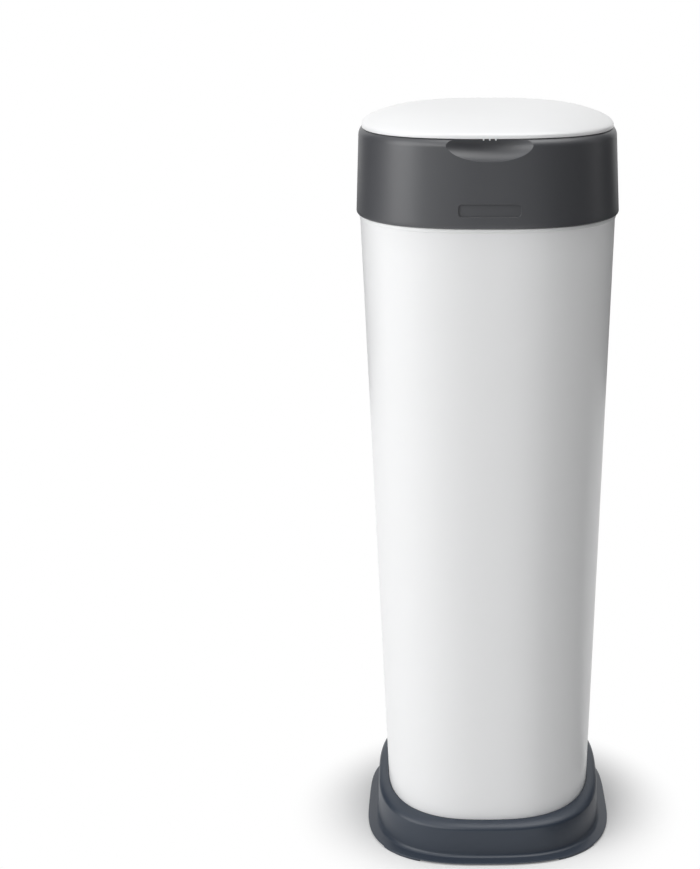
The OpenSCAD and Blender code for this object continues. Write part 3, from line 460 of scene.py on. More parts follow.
class Graph:
    """The node graph of one material."""

    def __init__(self, name: str) -> None:
        """Makes a material with an empty graph and an output."""
        self.material = bpy.data.materials.new(name)
        self.material.use_nodes = True
        self.tree = self.material.node_tree
        self.tree.nodes.clear()
        self.output = self.tree.nodes.new("ShaderNodeOutputMaterial")

    @classmethod
    def over(cls, tree: bpy.types.NodeTree, output: bpy.types.Node) -> "Graph":
        """Wraps a graph that exists, such as the world's."""
        graph = cls.__new__(cls)
        graph.material, graph.tree, graph.output = None, tree, output
        return graph

    def seen(self) -> Wire:
        """1 for camera rays and for what mirrors and glass show, else 0."""
        kinds = ("Camera", "Glossy", "Transmission")
        camera, glossy, through = (self.add("ShaderNodeLightPath", output=f"Is {kind} Ray") for kind in kinds)
        return camera.greatest(glossy).greatest(through)

    def add(
        self,
        kind: str,
        settings: dict[str, object] | None = None,
        inputs: dict[str | int, Value] | None = None,
        output: str | int = 0,
    ) -> Wire:
        """Adds a node.

        Args:
            kind: the node's type.
            settings: its settings, which are set first.
            inputs: values or wires of its sockets, by name or number.
            output: the socket to return.

        Returns:
            The wire of that socket.
        """
        node = self.tree.nodes.new(kind)
        for key, value in (settings or {}).items():
            setattr(node, key, value)
        for key, value in (inputs or {}).items():
            if isinstance(value, Wire):
                self.tree.links.new(value.socket, node.inputs[key])
            else:
                node.inputs[key].default_value = value
        return Wire(self, node.outputs[output])

    def noise(self, scale: float, detail: float = 2.0, stretch: Point = (1, 1, 1)) -> Wire:
        """Noise on the object's own coordinates.

        Args:
            scale: how many features there are in a metre.
            detail: how many finer octaves it has.
            stretch: factors on the three axes.

        Returns:
            The noise, about 0.5 on average.
        """
        place = self.add("ShaderNodeTexCoord", output="Object")
        mapped = self.add("ShaderNodeMapping", None, {"Vector": place, "Scale": stretch})
        return self.add("ShaderNodeTexNoise", None, {"Vector": mapped, "Scale": scale, "Detail": detail})

    def tint(self, dark: Sequence[float], light: Sequence[float], share: Wire) -> Wire:
        """Mixes two colours by a wire."""
        settings = {"data_type": "RGBA", "clamp_factor": True}
        return self.add("ShaderNodeMix", settings, {0: share, 6: (*dark, 1.0), 7: (*light, 1.0)}, output=2)

    def bump(self, height: Wire, depth: float, normal: Wire | None = None) -> Wire:
        """Bump of a depth in metres over a height wire."""
        inputs: dict[str | int, Value] = {"Height": height, "Distance": depth, "Strength": 1.0}
        if normal is not None:
            inputs["Normal"] = normal
        return self.add("ShaderNodeBump", None, inputs)

    def finish(self, inputs: dict[str | int, Value]) -> bpy.types.Material:
        """Adds the main shader and returns the material."""
        return self.surfaced(self.add("ShaderNodeBsdfPrincipled", None, inputs))

    def surfaced(self, shader: Wire) -> bpy.types.Material:
        """Links a shader to the output and returns the material."""
        self.tree.links.new(shader.socket, self.output.inputs["Surface"])
        return self.material


Colour = tuple[float, float, float]


def scaled(colour: Colour, factor: float) -> Colour:
    """Colour made lighter or darker by a factor."""
    return tuple(min(1.0, channel * factor) for channel in colour)


@dataclass(frozen=True)
class Moulded:
    """Injection-moulded plastic with a spark-eroded grain.

    Args:
        name: name of the material.
        colour: linear base colour.
        roughness: average roughness.
        grain: width of the grain, in millimetres.
        grain_depth: depth of the grain, in millimetres.
        mottle: share by which the colour drifts over the part.
        edge: radius that sharp edges are shaded with, in millimetres.
        specular: reflection of the surface, 0.5 being plain plastic.
    """

    name: str
    colour: Colour
    roughness: float = 0.4
    grain: float = 0.45
    grain_depth: float = 0.016
    mottle: float = 0.05
    edge: float = 0.35
    specular: float = 0.5

    def material(self) -> bpy.types.Material:
        """Builds the material."""
        graph = Graph(self.name)
        drift = graph.noise(14.0, 2.0, (1.0, 1.0, 0.35))
        flow = graph.noise(5.0, 3.0, (1.0, 1.0, 3.0))
        grain = graph.noise(1.0 / (self.grain * MM), 1.0)
        share = 0.6 * drift + 0.4 * flow
        colour = graph.tint(scaled(self.colour, 1 - self.mottle), scaled(self.colour, 1 + self.mottle), share)
        roughness = self.roughness + (drift - 0.5) * 0.08 + (grain - 0.5) * 0.06
        edge = graph.add("ShaderNodeBevel", {"samples": 4}, {"Radius": self.edge * MM})
        normal = graph.bump(grain, self.grain_depth * MM, edge)
        inputs = {"Base Color": colour, "Roughness": roughness, "Normal": normal}
        return graph.finish({**inputs, "Specular IOR Level": self.specular})


@dataclass(frozen=True)
class Plated:
    """Zinc-plated steel with fine turning marks."""

    name: str
    colour: Colour
    roughness: float = 0.32
    marks: float = 0.25

    def material(self) -> bpy.types.Material:
        """Builds the material."""
        graph = Graph(self.name)
        marks = graph.noise(1.0 / (self.marks * MM), 2.0, (0.2, 1.0, 1.0))
        bloom = graph.noise(120.0, 2.0)
        return graph.finish(
            {
                "Base Color": graph.tint(scaled(self.colour, 0.9), scaled(self.colour, 1.06), bloom),
                "Metallic": 1.0,
                "Roughness": self.roughness + (marks - 0.5) * 0.16 + (bloom - 0.5) * 0.1,
                "Normal": graph.bump(marks, 0.006 * MM),
            }
        )


@dataclass(frozen=True)
class Rubbery:
    """Soft matte rubber with a faint bloom."""

    name: str
    colour: Colour
    roughness: float = 0.72

    def material(self) -> bpy.types.Material:
        """Builds the material."""
        graph = Graph(self.name)
        bloom = graph.noise(70.0, 3.0)
        grain = graph.noise(1600.0, 1.0)
        return graph.finish(
            {
                "Base Color": graph.tint(scaled(self.colour, 0.85), scaled(self.colour, 1.2), bloom),
                "Roughness": self.roughness + (bloom - 0.5) * 0.12,
                "Normal": graph.bump(grain, 0.02 * MM),
                "Specular IOR Level": 0.35,
            }
        )


@dataclass(frozen=True)
class Filmy:
    """Thin gathered film: milky, softly glossy and finely creased along its length."""

    name: str
    colour: Colour
    roughness: float = 0.3

    def material(self) -> bpy.types.Material:
        """Builds the material."""
        graph = Graph(self.name)
        creases = graph.noise(420.0, 3.0, (1.0, 1.0, 0.12))
        puckers = graph.noise(160.0, 2.0)
        # The height drives both the crease bump and the base colour: painted shade in the crease hollows and
        # a painted highlight on the ridges.
        height = 0.7 * creases + 0.3 * puckers
        return graph.finish(
            {
                "Base Color": graph.tint(scaled(self.colour, 0.86), scaled(self.colour, 1.1), height),
                "Roughness": self.roughness + (puckers - 0.5) * 0.2,
                "Normal": graph.bump(height, 0.35 * MM),
            }
        )


class Finish(Enum):
    """Every finish of the bin, with the record's slot it belongs to."""

    WHITE = ("white_plastic", Moulded("white shell plastic", (0.84, 0.845, 0.85), 0.34, 0.7, 0.006, 0.012))
    GREY = ("grey_plastic", Moulded("collar plastic", (0.059, 0.061, 0.067), specular=0.7))
    SLATE = ("slate_plastic", Moulded("foot plastic", (0.028, 0.038, 0.056)))
    PALE = ("pale_plastic", Moulded("inner plastic", (0.70, 0.71, 0.70), 0.5, 0.6, 0.012, 0.03))
    GEAR = ("gear_plastic", Moulded("gear plastic", (0.62, 0.63, 0.60), 0.38, 0.4, 0.008, 0.03, 0.15))
    TRAY = ("tray_plastic", Moulded("refill plastic", (0.60, 0.64, 0.67), 0.3, 0.6, 0.006, 0.02))
    CAP = ("cap_plastic", Moulded("refill cover plastic", (0.28, 0.40, 0.48), 0.3, 0.6, 0.006, 0.03))
    FILM = ("film", Filmy("drawn film", (0.64, 0.74, 0.68)))
    FINGER = ("soft_rubber", Rubbery("gripper rubber", (0.10, 0.11, 0.125)))
    SEAL = ("seal_rubber", Rubbery("seal rubber", (0.25, 0.27, 0.29)))
    PAD = ("pad_rubber", Rubbery("pad rubber", (0.022, 0.022, 0.025)))
    STEEL = ("steel", Plated("plated steel", (0.62, 0.62, 0.63)))

    @property
    def slot(self) -> str:
        """The record's material slot."""
        return self.value[0]

    @property
    def material(self) -> bpy.types.Material:
        """The material, built once."""
        made = bpy.data.materials.get(self.value[1].name)
        return made or self.value[1].material()


# Pieces


def add_piece(
    name: str, shape: BMesh, body: str, finish: Finish, *replaces: str, crease: float = 32.0
) -> None:
    """Turns a mesh in millimetres into a finished piece.

    Args:
        name: the piece's name.
        shape: its mesh, which is freed.
        body: the body that it rides on.
        finish: its finish.
        *replaces: the nodes that it stands for.
        crease: angle past which an edge stays sharp, in degrees.
    """
    bmesh.ops.scale(shape, vec=(MM, MM, MM), verts=shape.verts)
    sharp = math.radians(crease)
    for edge in shape.edges:
        edge.smooth = edge.calc_face_angle(0.0) < sharp
    for face in shape.faces:
        face.smooth = True
    piece = linked(name, shape)
    piece.data.materials.append(finish.material)
    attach(piece, body)
    finish.slot
    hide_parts(*replaces)
    LOG.info("%s: %d faces on %s", name, len(piece.data.polygons), body)


def refined(node: bpy.types.Object, name: str, body: str, finish: Finish) -> None:
    """Replaces a node by a merged copy with smooth rounds.

    Args:
        node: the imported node.
        name: the new piece's name.
        body: the body that it rides on.
        finish: its finish.
    """
    shape = bmesh.new()
    shape.from_mesh(node.data)
    bmesh.ops.remove_doubles(shape, verts=shape.verts, dist=NODE_DOUBLE)
    bmesh.ops.scale(shape, vec=(1 / MM,) * 3, verts=shape.verts)
    add_piece(name, shape, body, finish, node.name, crease=25.0)


@dataclass
class Hinge:
    """Knuckles of a hinge along X."""

    y: float
    z: float
    barrel_r: float
    middle: float = 13.0
    swing: float = 13.0
    end: float = 12.0
    gap: float = 0.3
    pocket_gap: float = 0.5
    round_r: float = 0.4

    @property
    def half(self) -> float:
        """Half of the hinge's length."""
        return self.middle / 2 + self.swing + self.end

    def fixed_spans(self, spare: float = 0.0) -> list[Place]:
        """Spans of the fixed knuckles, each longer by a spare at both ends."""
        inner, outer = self.middle / 2, self.middle / 2 + self.swing
        spans = [(-self.half, -outer), (-inner, inner), (outer, self.half)]
        return [(low - spare, high + spare) for low, high in spans]

    def swing_spans(self, spare: float = 0.0) -> list[Place]:
        """Spans of the swinging knuckles, each longer by a spare at both ends."""
        low = self.middle / 2 + self.gap - spare
        high = self.middle / 2 + self.swing - self.gap + spare
        return [(-high, -low), (low, high)]

    def barrels(self, spans: Sequence[Place], spare: float = 0.0, edge: float = 0.0) -> BMesh:
        """Round barrels over spans, wider by a spare."""
        return merged(
            rod((a, self.y, self.z), (b, self.y, self.z), self.barrel_r + spare, edge)
            for a, b in spans
        )


@dataclass
class Levels:
    """Heights and clearances that the sub-assemblies share."""

    tray: float = 7.0
    seat: float = 576.0
    shoulder: float = 648.4
    deck: float = 634.4
    gap: float = 0.3
    head: Section = Section(113.0, 117.52, 2.6)
    head_hinge: Hinge = field(default_factory=lambda: Hinge(114.143, 571.0, 4.0))
    lid_hinge: Hinge = field(default_factory=lambda: Hinge(113.62, 646.9, 3.5))
    taper: Taper = Taper()


@dataclass
class Foot:
    """Slate foot: tray, sleeve, sloping rounded rim, wall, fillet and flange."""

    levels: Levels
    sleeve_gap: float = 0.4
    wall_out: float = 9.6
    flange_out: float = 10.3
    flange_h: float = 4.1
    flange_lean: float = 10.0
    lift: float = 1.6
    lip: float = 0.6
    rim_front: float = 35.5
    rim_back: float = 55.5
    rim_round: float = 6.0
    skin: float = 2.4
    tray_t: float = 2.6
    lean: float = 0.7
    fillet: float = 3.6
    square: float = 2.8
    back_square: float = 4.2
    corner_w: float = 42.0
    corner_in: float = 6.0
    corner_turn: float = 50.0
    corner_gap: float = 0.2
    thin: float = 0.2
    root: float = 4.0
    turned: float = 0.6
    pad_xy: Place = (62.0, 64.48)
    pad_r: float = 8.0
    pad_h: float = 2.6
    pad_gap: float = 0.03
    boss_wall: float = 2.0
    boss_low: float = 1.2
    boss_round: float = 0.4
    screw_xy: Place = (40.0, 41.6)
    screw_hole: float = 2.0

    def build(self) -> None:
        """Builds the foot's skin and dresses it."""
        top, radius = self.levels.tray - self.thin, self.pad_r + self.boss_wall
        bosses = posts(corners(*self.pad_xy), self.boss_low, top, radius, self.boss_round)
        shell = combined(spin_rings(self.skin_rings()), bosses, Cut.ADD)
        shell = combined(shell, self.corner_feet(), Cut.ADD)
        shell = combined(shell, self.holes(), Cut.TAKE)
        add_piece("foot_shell", shell, "tub_body", Finish.SLATE, "foot_base")

    @property
    def wall_a(self) -> float:
        """Half width of the wall."""
        return self.levels.taper.half_w(self.rim_front) + self.sleeve_gap + self.wall_out

    def flange_rings(self, points: Iterable[Place]) -> list[Ring]:
        """Rings of the flange, squarer at the back, from pairs of half width and height."""
        return [Ring(Section.deep(a, self.square, self.back_square), z) for a, z in points]

    def skin_rings(self) -> list[AnyRing]:
        """Rings of the skin, from under the tray over the flange and rim to the tray's top."""
        taper, tray, gap, wall = self.levels.taper, self.levels.tray, self.sleeve_gap, self.wall_a
        mid = (self.rim_front + self.rim_back) / 2
        slope = (self.rim_back - self.rim_front) / (2 * taper.half_w(mid) * DEPTH_RATIO)
        flange, out = wall + self.flange_out, wall + self.lean
        low, below, under = mid - self.rim_round, tray - self.tray_t, self.lift + self.thin

        def level(half: float, z: float, tilt: float = 0.0) -> Ring:
            """Ring of the wall."""
            return Ring(Section.deep(half, self.square), z, slope=tilt)

        fall = math.radians(self.flange_lean)
        reach = self.flange_out - self.lean - self.lip
        tip = (flange - self.lip, self.flange_h - reach * math.tan(fall) - self.lip / math.cos(fall))
        rise = self.fillet * (1 / math.cos(fall) - math.tan(fall))
        curve = arc((out + self.fillet, self.flange_h + rise), self.fillet, 270 - self.flange_lean, 184, 12)
        start = self.rim_ring(0, wall, low, mid, slope)
        return [
            *capped(taper.section(below), below, 0.0, 0.5, 0.9),
            Sleeve(taper, below, gap + self.skin - self.turned),
            Sleeve(taper, below + self.turned, gap + self.skin),
            Sleeve(taper, low, gap + self.skin, slope),
            level(wall - self.skin, low - 1, slope),
            level(out - self.skin, self.flange_h + self.fillet),
            level(wall + self.root, under + self.thin),
            *self.flange_rings([(flange - self.skin, under), (flange - self.skin, self.lift)]),
            *self.flange_rings([(flange - self.thin, self.lift)]),
            *self.flange_rings(arc((flange - self.thin, under), self.thin, -60, 0, 2)),
            *self.flange_rings(arc(tip, self.lip, 0, 90 - self.flange_lean, 6)),
            *(level(a, z) for a, z in curve),
            *(Between(level(*curve[-1]), start, share) for share in (0.3, 0.65)),
            *(self.rim_ring(turn, wall, low, mid, slope) for turn in range(0, 91, 6)),
            Sleeve(taper, mid - 2, gap, slope),
            Sleeve(taper, tray + 3, gap),
            Sleeve(taper, tray, gap),
            *capped(taper.section(tray), tray, 0.9, 0.5, 0.0),
        ]

    def rim_ring(self, turn: float, wall: float, low: float, mid: float, slope: float) -> AnyRing:
        """Ring of the rounded rim at an angle of its quarter ellipse, in degrees."""
        c, s = math.cos(math.radians(turn)), math.sin(math.radians(turn))
        outer = Ring(Section.deep(wall, self.square), low + self.rim_round * s, slope=slope)
        inner = Sleeve(self.levels.taper, mid - self.rim_round * (1 - s), self.sleeve_gap, slope)
        return Between(inner, outer, c)

    def corner_feet(self) -> BMesh:
        """Four feet under the flange's corners."""
        outer = self.wall_a + self.flange_out - self.corner_gap
        inner, top = outer - self.corner_in, self.lift + 0.1
        points = [(inner, 0.3), (inner + 0.3, 0.0), (outer - 0.6, 0.0), (outer - 0.15, 0.2), (outer, 0.6)]
        hoop = spin_rings(self.flange_rings([*points, (outer, top), (inner, top + 0.5)]), closed=True)
        wedges = []
        for angle in (self.corner_turn, 180 - self.corner_turn, 180 + self.corner_turn, -self.corner_turn):
            wedge = block((20, -self.corner_w / 2, -1), (2 * outer, self.corner_w / 2, top + 1))
            turn = Matrix.Rotation(math.radians(angle), 4, "Z")
            bmesh.ops.transform(wedge, matrix=turn, verts=wedge.verts)
            wedges.append(wedge)
        return combined(hoop, merged(wedges), Cut.KEEP)

    def holes(self) -> BMesh:
        """Pad pockets and screw holes."""
        pockets = posts(corners(*self.pad_xy), -1, self.pad_h, self.pad_r + self.pad_gap)
        return merged([pockets, posts(corners(*self.screw_xy), 1, self.levels.tray + 1, self.screw_hole)])


@dataclass
class Tub:
    """White tub: tapered wall, band under the collar, inner rim and the fixed half of the head's hinge."""

    levels: Levels
    wall: float = 2.2
    bottom_round: float = 3.0
    band_h: float = 4.0
    band_out: float = 0.7
    rim_h: float = 8.0
    rim_in: float = 3.4
    screw_xy: Place = (40.0, 41.6)
    boss_r: float = 4.8
    boss_top: float = 22.0
    housing: tuple[float, float, float, float] = (2.0, 6.7, 10.0, 9.0)
    pocket_out: float = 12.0
    pocket_h: float = 6.0

    def build(self) -> None:
        """Builds the tub and dresses it."""
        hinge, (end, inward, outward, up) = self.levels.head_hinge, self.housing
        housing = block(
            (-hinge.half - end, hinge.y - inward, hinge.z - inward),
            (hinge.half + end, hinge.y + outward, hinge.z + up),
        )
        core = spin_rings(self.core_rings())
        shell = combined(spin_rings(self.shell_rings()), combined(housing, core, Cut.KEEP), Cut.ADD)
        shell = combined(shell, hinge.barrels(hinge.fixed_spans(), 0.0, hinge.round_r), Cut.ADD)
        shell = combined(shell, self.pockets(), Cut.TAKE)
        bosses = posts(corners(*self.screw_xy), self.levels.tray + 1, self.boss_top, self.boss_r, 0.5)
        add_piece("tub_shell", merged([shell, bosses]), "tub_body", Finish.WHITE, "tub")

    @property
    def rim(self) -> Section:
        """Outline of the rim that stands inside the collar."""
        return self.levels.head.less(self.rim_in)

    def shell_rings(self) -> list[AnyRing]:
        """Rings from the middle of the underside, up the outer face, over the rim and down inside."""
        taper, tray, seat, wall = self.levels.taper, self.levels.tray, self.levels.seat, self.wall
        top, band, rim_top = seat - self.levels.gap, seat - self.band_h, seat + self.rim_h
        floor = tray + wall + 0.4
        bend = tray + self.bottom_round
        low = taper.half_w(bend) - self.bottom_round

        def faces(points: Iterable[Place]) -> list[Ring]:
            """Rings on the tapered face from pairs of height and inset."""
            return [Ring(taper.section(z), z, inset) for z, inset in points]

        bottom = arc((low, bend), self.bottom_round, -90, 0, 6)
        rim = [(0.0, top), (0.0, rim_top - 0.6), (0.2, rim_top - 0.2), (0.6, rim_top)]
        rim += [(wall - 0.3, rim_top), (wall, rim_top - 0.3), (wall, seat)]
        out = self.band_out
        return [
            *capped(taper.section(tray), tray, 0.0, 0.5, 0.9),
            *(Ring(Section.deep(a, taper.square), z) for a, z in bottom),
            *faces((z, 0.0) for z in (30.0, 80.0, 150.0, 240.0, 330.0, 420.0, 500.0, 550.0, band - 0.15)),
            *faces([(band, -0.05), (band + 0.35, 0.1 - out), (band + 0.5, -out)]),
            *faces([(top - 0.4, -out), (top, 0.4 - out)]),
            *stacked(self.rim, rim),
            *faces((z, wall) for z in (band, 480.0, 360.0, 240.0, 120.0, 40.0, tray + 6)),
            *faces([(floor + 0.8, wall + 0.9), (floor, wall + self.bottom_round)]),
            *capped(taper.section(floor), floor, 0.8, 0.4, 0.0),
        ]

    def core_rings(self) -> list[AnyRing]:
        """Rings of a solid inside the outer face, which trims the hinge's housing."""
        taper, seat, inset = self.levels.taper, self.levels.seat, self.wall / 2
        low, band, top = self.levels.head_hinge.z - 30, seat - self.band_h, seat + self.rim_h
        sides = [Ring(taper.section(z), z, inset) for z in (low, band)]
        sides += stacked(self.rim, ((inset, seat), (inset, top)))
        return [*capped(taper.section(low), low, 0.0), *sides, *capped(self.rim, top, 0.0)]

    def pockets(self) -> BMesh:
        """Pockets for the swinging knuckles."""
        hinge = self.levels.head_hinge
        spans = hinge.swing_spans(self.levels.gap)
        y = hinge.y - 0.4
        slots = [block((a, y, hinge.z), (b, y + self.pocket_out, hinge.z + self.pocket_h)) for a, b in spans]
        return combined(hinge.barrels(spans, hinge.pocket_gap), merged(slots), Cut.ADD)


@dataclass
class Collar:
    """Dark grey collar: shoulder, mouth, thumb scoop, panel and knuckles of both hinges."""

    levels: Levels
    wall: float = 2.5
    draft: float = 2.8
    shoulder_r: float = 8.0
    edge_r: float = 1.2
    mouth_inset: float = 14.5
    lip_h: float = 8.0
    scoop_w: float = 80.0
    scoop_top: float = 3.5
    scoop_h: float = 15.0
    scoop_depth: float = 9.0
    panel_w: float = 50.6
    panel_h: float = 10.2
    panel_z: float = 14.6
    panel_r: float = 3.0
    panel_depth: float = 1.05
    panel_cuts: int = 24
    socket_end: float = 2.0
    socket_wall: float = 2.2
    arm_in: float = 0.8
    arm_h: float = 8.0
    arm_round: float = 0.2

    def build(self) -> None:
        """Builds the collar and dresses it."""
        lid, head = self.levels.lid_hinge, self.levels.head_hinge
        end, socket = lid.half + self.socket_end, lid.barrel_r + lid.pocket_gap + self.socket_wall
        backing = merged([self.scoop(self.wall), rod((-end, lid.y, lid.z), (end, lid.y, lid.z), socket)])
        skin = spin_rings(self.skin_rings(), closed=True, sides=288)
        for tool, how in (
            (combined(backing, spin_rings(self.core_rings()), Cut.KEEP), Cut.ADD),
            (lid.barrels(lid.fixed_spans(), 0.0, lid.round_r), Cut.ADD),
            (self.scoop(0.0), Cut.TAKE),
            (lid.barrels(lid.swing_spans(self.levels.gap), lid.pocket_gap), Cut.TAKE),
            (self.panel(), Cut.TAKE),
        ):
            skin = combined(skin, tool, how)
        y, z = self.levels.head.half_d - self.arm_in, head.z + self.arm_h
        arms = [block((a, head.y, head.z), (b, y, z), self.arm_round) for a, b in head.swing_spans()]
        knuckles = head.barrels(head.swing_spans(), 0.0, head.round_r)
        add_piece("collar", merged([skin, knuckles, *arms]), "head", Finish.GREY, "head_shell")

    def inset_at(self, z: float) -> float:
        """Inset of the drafted outer face at a height."""
        low = self.levels.seat + self.edge_r
        return self.draft * (z - low) / (self.levels.shoulder - self.shoulder_r - low)

    def profile(self) -> list[Place]:
        """Inset and height of each ring, from the lower edge over the shoulder and mouth and back inside."""
        seat, top, w = self.levels.seat, self.levels.shoulder, self.wall
        big, e = self.shoulder_r, self.edge_r
        bend, low = self.draft + big, top - big
        edge = [(e - e * math.sin(t), seat + e - e * math.cos(t)) for t in (0.0, 0.4, 0.8, 1.2, math.pi / 2)]
        wall = [(self.inset_at(z), z) for z in (seat + 4, seat + 12, seat + 24, seat + 38, seat + 52)]
        shoulder = [(bend - big * math.cos(t), low + big * math.sin(t)) for t in quarter(14)]
        m, lip = self.mouth_inset, self.lip_h
        below = top - lip
        mouth = [(m - 0.5, top), (m - 0.15, top - 0.15), (m, top - 0.5), (m, below + 0.4), (m - 0.4, below)]
        under = [(m - w + 0.4, below), (m - w, below + 0.4), (m - w, top - w)]
        r = big - w
        inner = [(bend - r * math.cos(t), low + r * math.sin(t)) for t in reversed(quarter(5))]
        return [*edge, *wall, *shoulder, *mouth, *under, *inner, (w, seat + 0.3), (w - 0.3, seat)]

    def skin_rings(self) -> list[AnyRing]:
        """Rings of the collar's skin."""
        return stacked(self.levels.head, self.profile())

    def core_rings(self) -> list[AnyRing]:
        """Rings of a solid inside the outer face, which trims what is added to the wall."""
        inset = self.wall / 3
        bend, low = self.draft + self.shoulder_r, self.levels.shoulder - self.shoulder_r
        r = self.shoulder_r - inset
        points = [(inset, self.levels.seat + 1)]
        points += [(bend - r * math.cos(t), low + r * math.sin(t)) for t in quarter(6)]
        ends = [capped(self.levels.head, z, 0.0) for _, z in (points[0], points[-1])]
        return [*ends[0], *stacked(self.levels.head, points), *ends[1]]

    def scoop(self, extra: float) -> BMesh:
        """Solid of the thumb scoop, turned about a line along X in front of the collar.

        Args:
            extra: how much larger it is on every side.

        Returns:
            The closed solid.
        """
        h, d, half = self.scoop_h, self.scoop_depth, self.scoop_w / 2
        out = (h * h - d * d) / (2 * d)
        face = self.levels.head.half_d - self.draft
        turns = [math.pi * k / ROD_SIDES for k in range(ROD_SIDES + 1)]
        curve = [(-half * math.cos(t), math.sqrt(out**2 + (h * math.sin(t)) ** 2) + extra) for t in turns]
        if extra:
            curve = [(-half - extra, curve[0][1]), *curve, (half + extra, curve[-1][1])]
        curve = [(curve[0][0], 0.0), *curve, (curve[-1][0], 0.0)]
        shape = bmesh.new()
        sweep(shape, chain(shape, [(x, 0.0, r) for x, r in curve]), FULL_TURN, 96, axis=(1, 0, 0))
        place = (0, -face - out, self.levels.shoulder - self.scoop_top)
        bmesh.ops.translate(shape, vec=place, verts=shape.verts)
        return tidied(shape)

    def panel(self) -> BMesh:
        """Cutter of the shallow panel, whose floor follows the collar's surface."""
        x, z = self.panel_w / 2 - self.panel_r, self.panel_h / 2 - self.panel_r
        middle = self.levels.seat + self.panel_z
        outline = []
        for sx, sz, start in ((1, 1, 0), (-1, 1, 90), (-1, -1, 180), (1, -1, 270)):
            outline += arc((sx * x, middle + sz * z), self.panel_r, start, start + 90, 6)
        shape = bmesh.new()
        front = self.levels.head.half_d + 6
        face = shape.faces.new([shape.verts.new((px, -front, pz)) for px, pz in outline])
        grown = bmesh.ops.extrude_face_region(shape, geom=[face])
        back = [item for item in grown["geom"] if isinstance(item, bmesh.types.BMVert)]
        bmesh.ops.translate(shape, vec=(0, 4, 0), verts=back)
        for k in range(1 - self.panel_cuts // 2, self.panel_cuts // 2):
            geom = [*shape.verts, *shape.edges, *shape.faces]
            x = k * self.panel_w / self.panel_cuts
            bmesh.ops.bisect_plane(shape, geom=geom, plane_co=(x, 0, 0), plane_no=(1, 0, 0))
        for vert in shape.verts:
            if vert.co.y > -front + 2:
                vert.co.y = self.surface_y(vert.co.x, vert.co.z) + self.panel_depth
        return tidied(shape)

    def surface_y(self, x: float, z: float) -> float:
        """Y of the collar's front at a place."""
        face = self.levels.head.less(self.inset_at(z))
        return -face.half_d * (1 - (abs(x) / face.half_w) ** face.square) ** (1 / face.square)


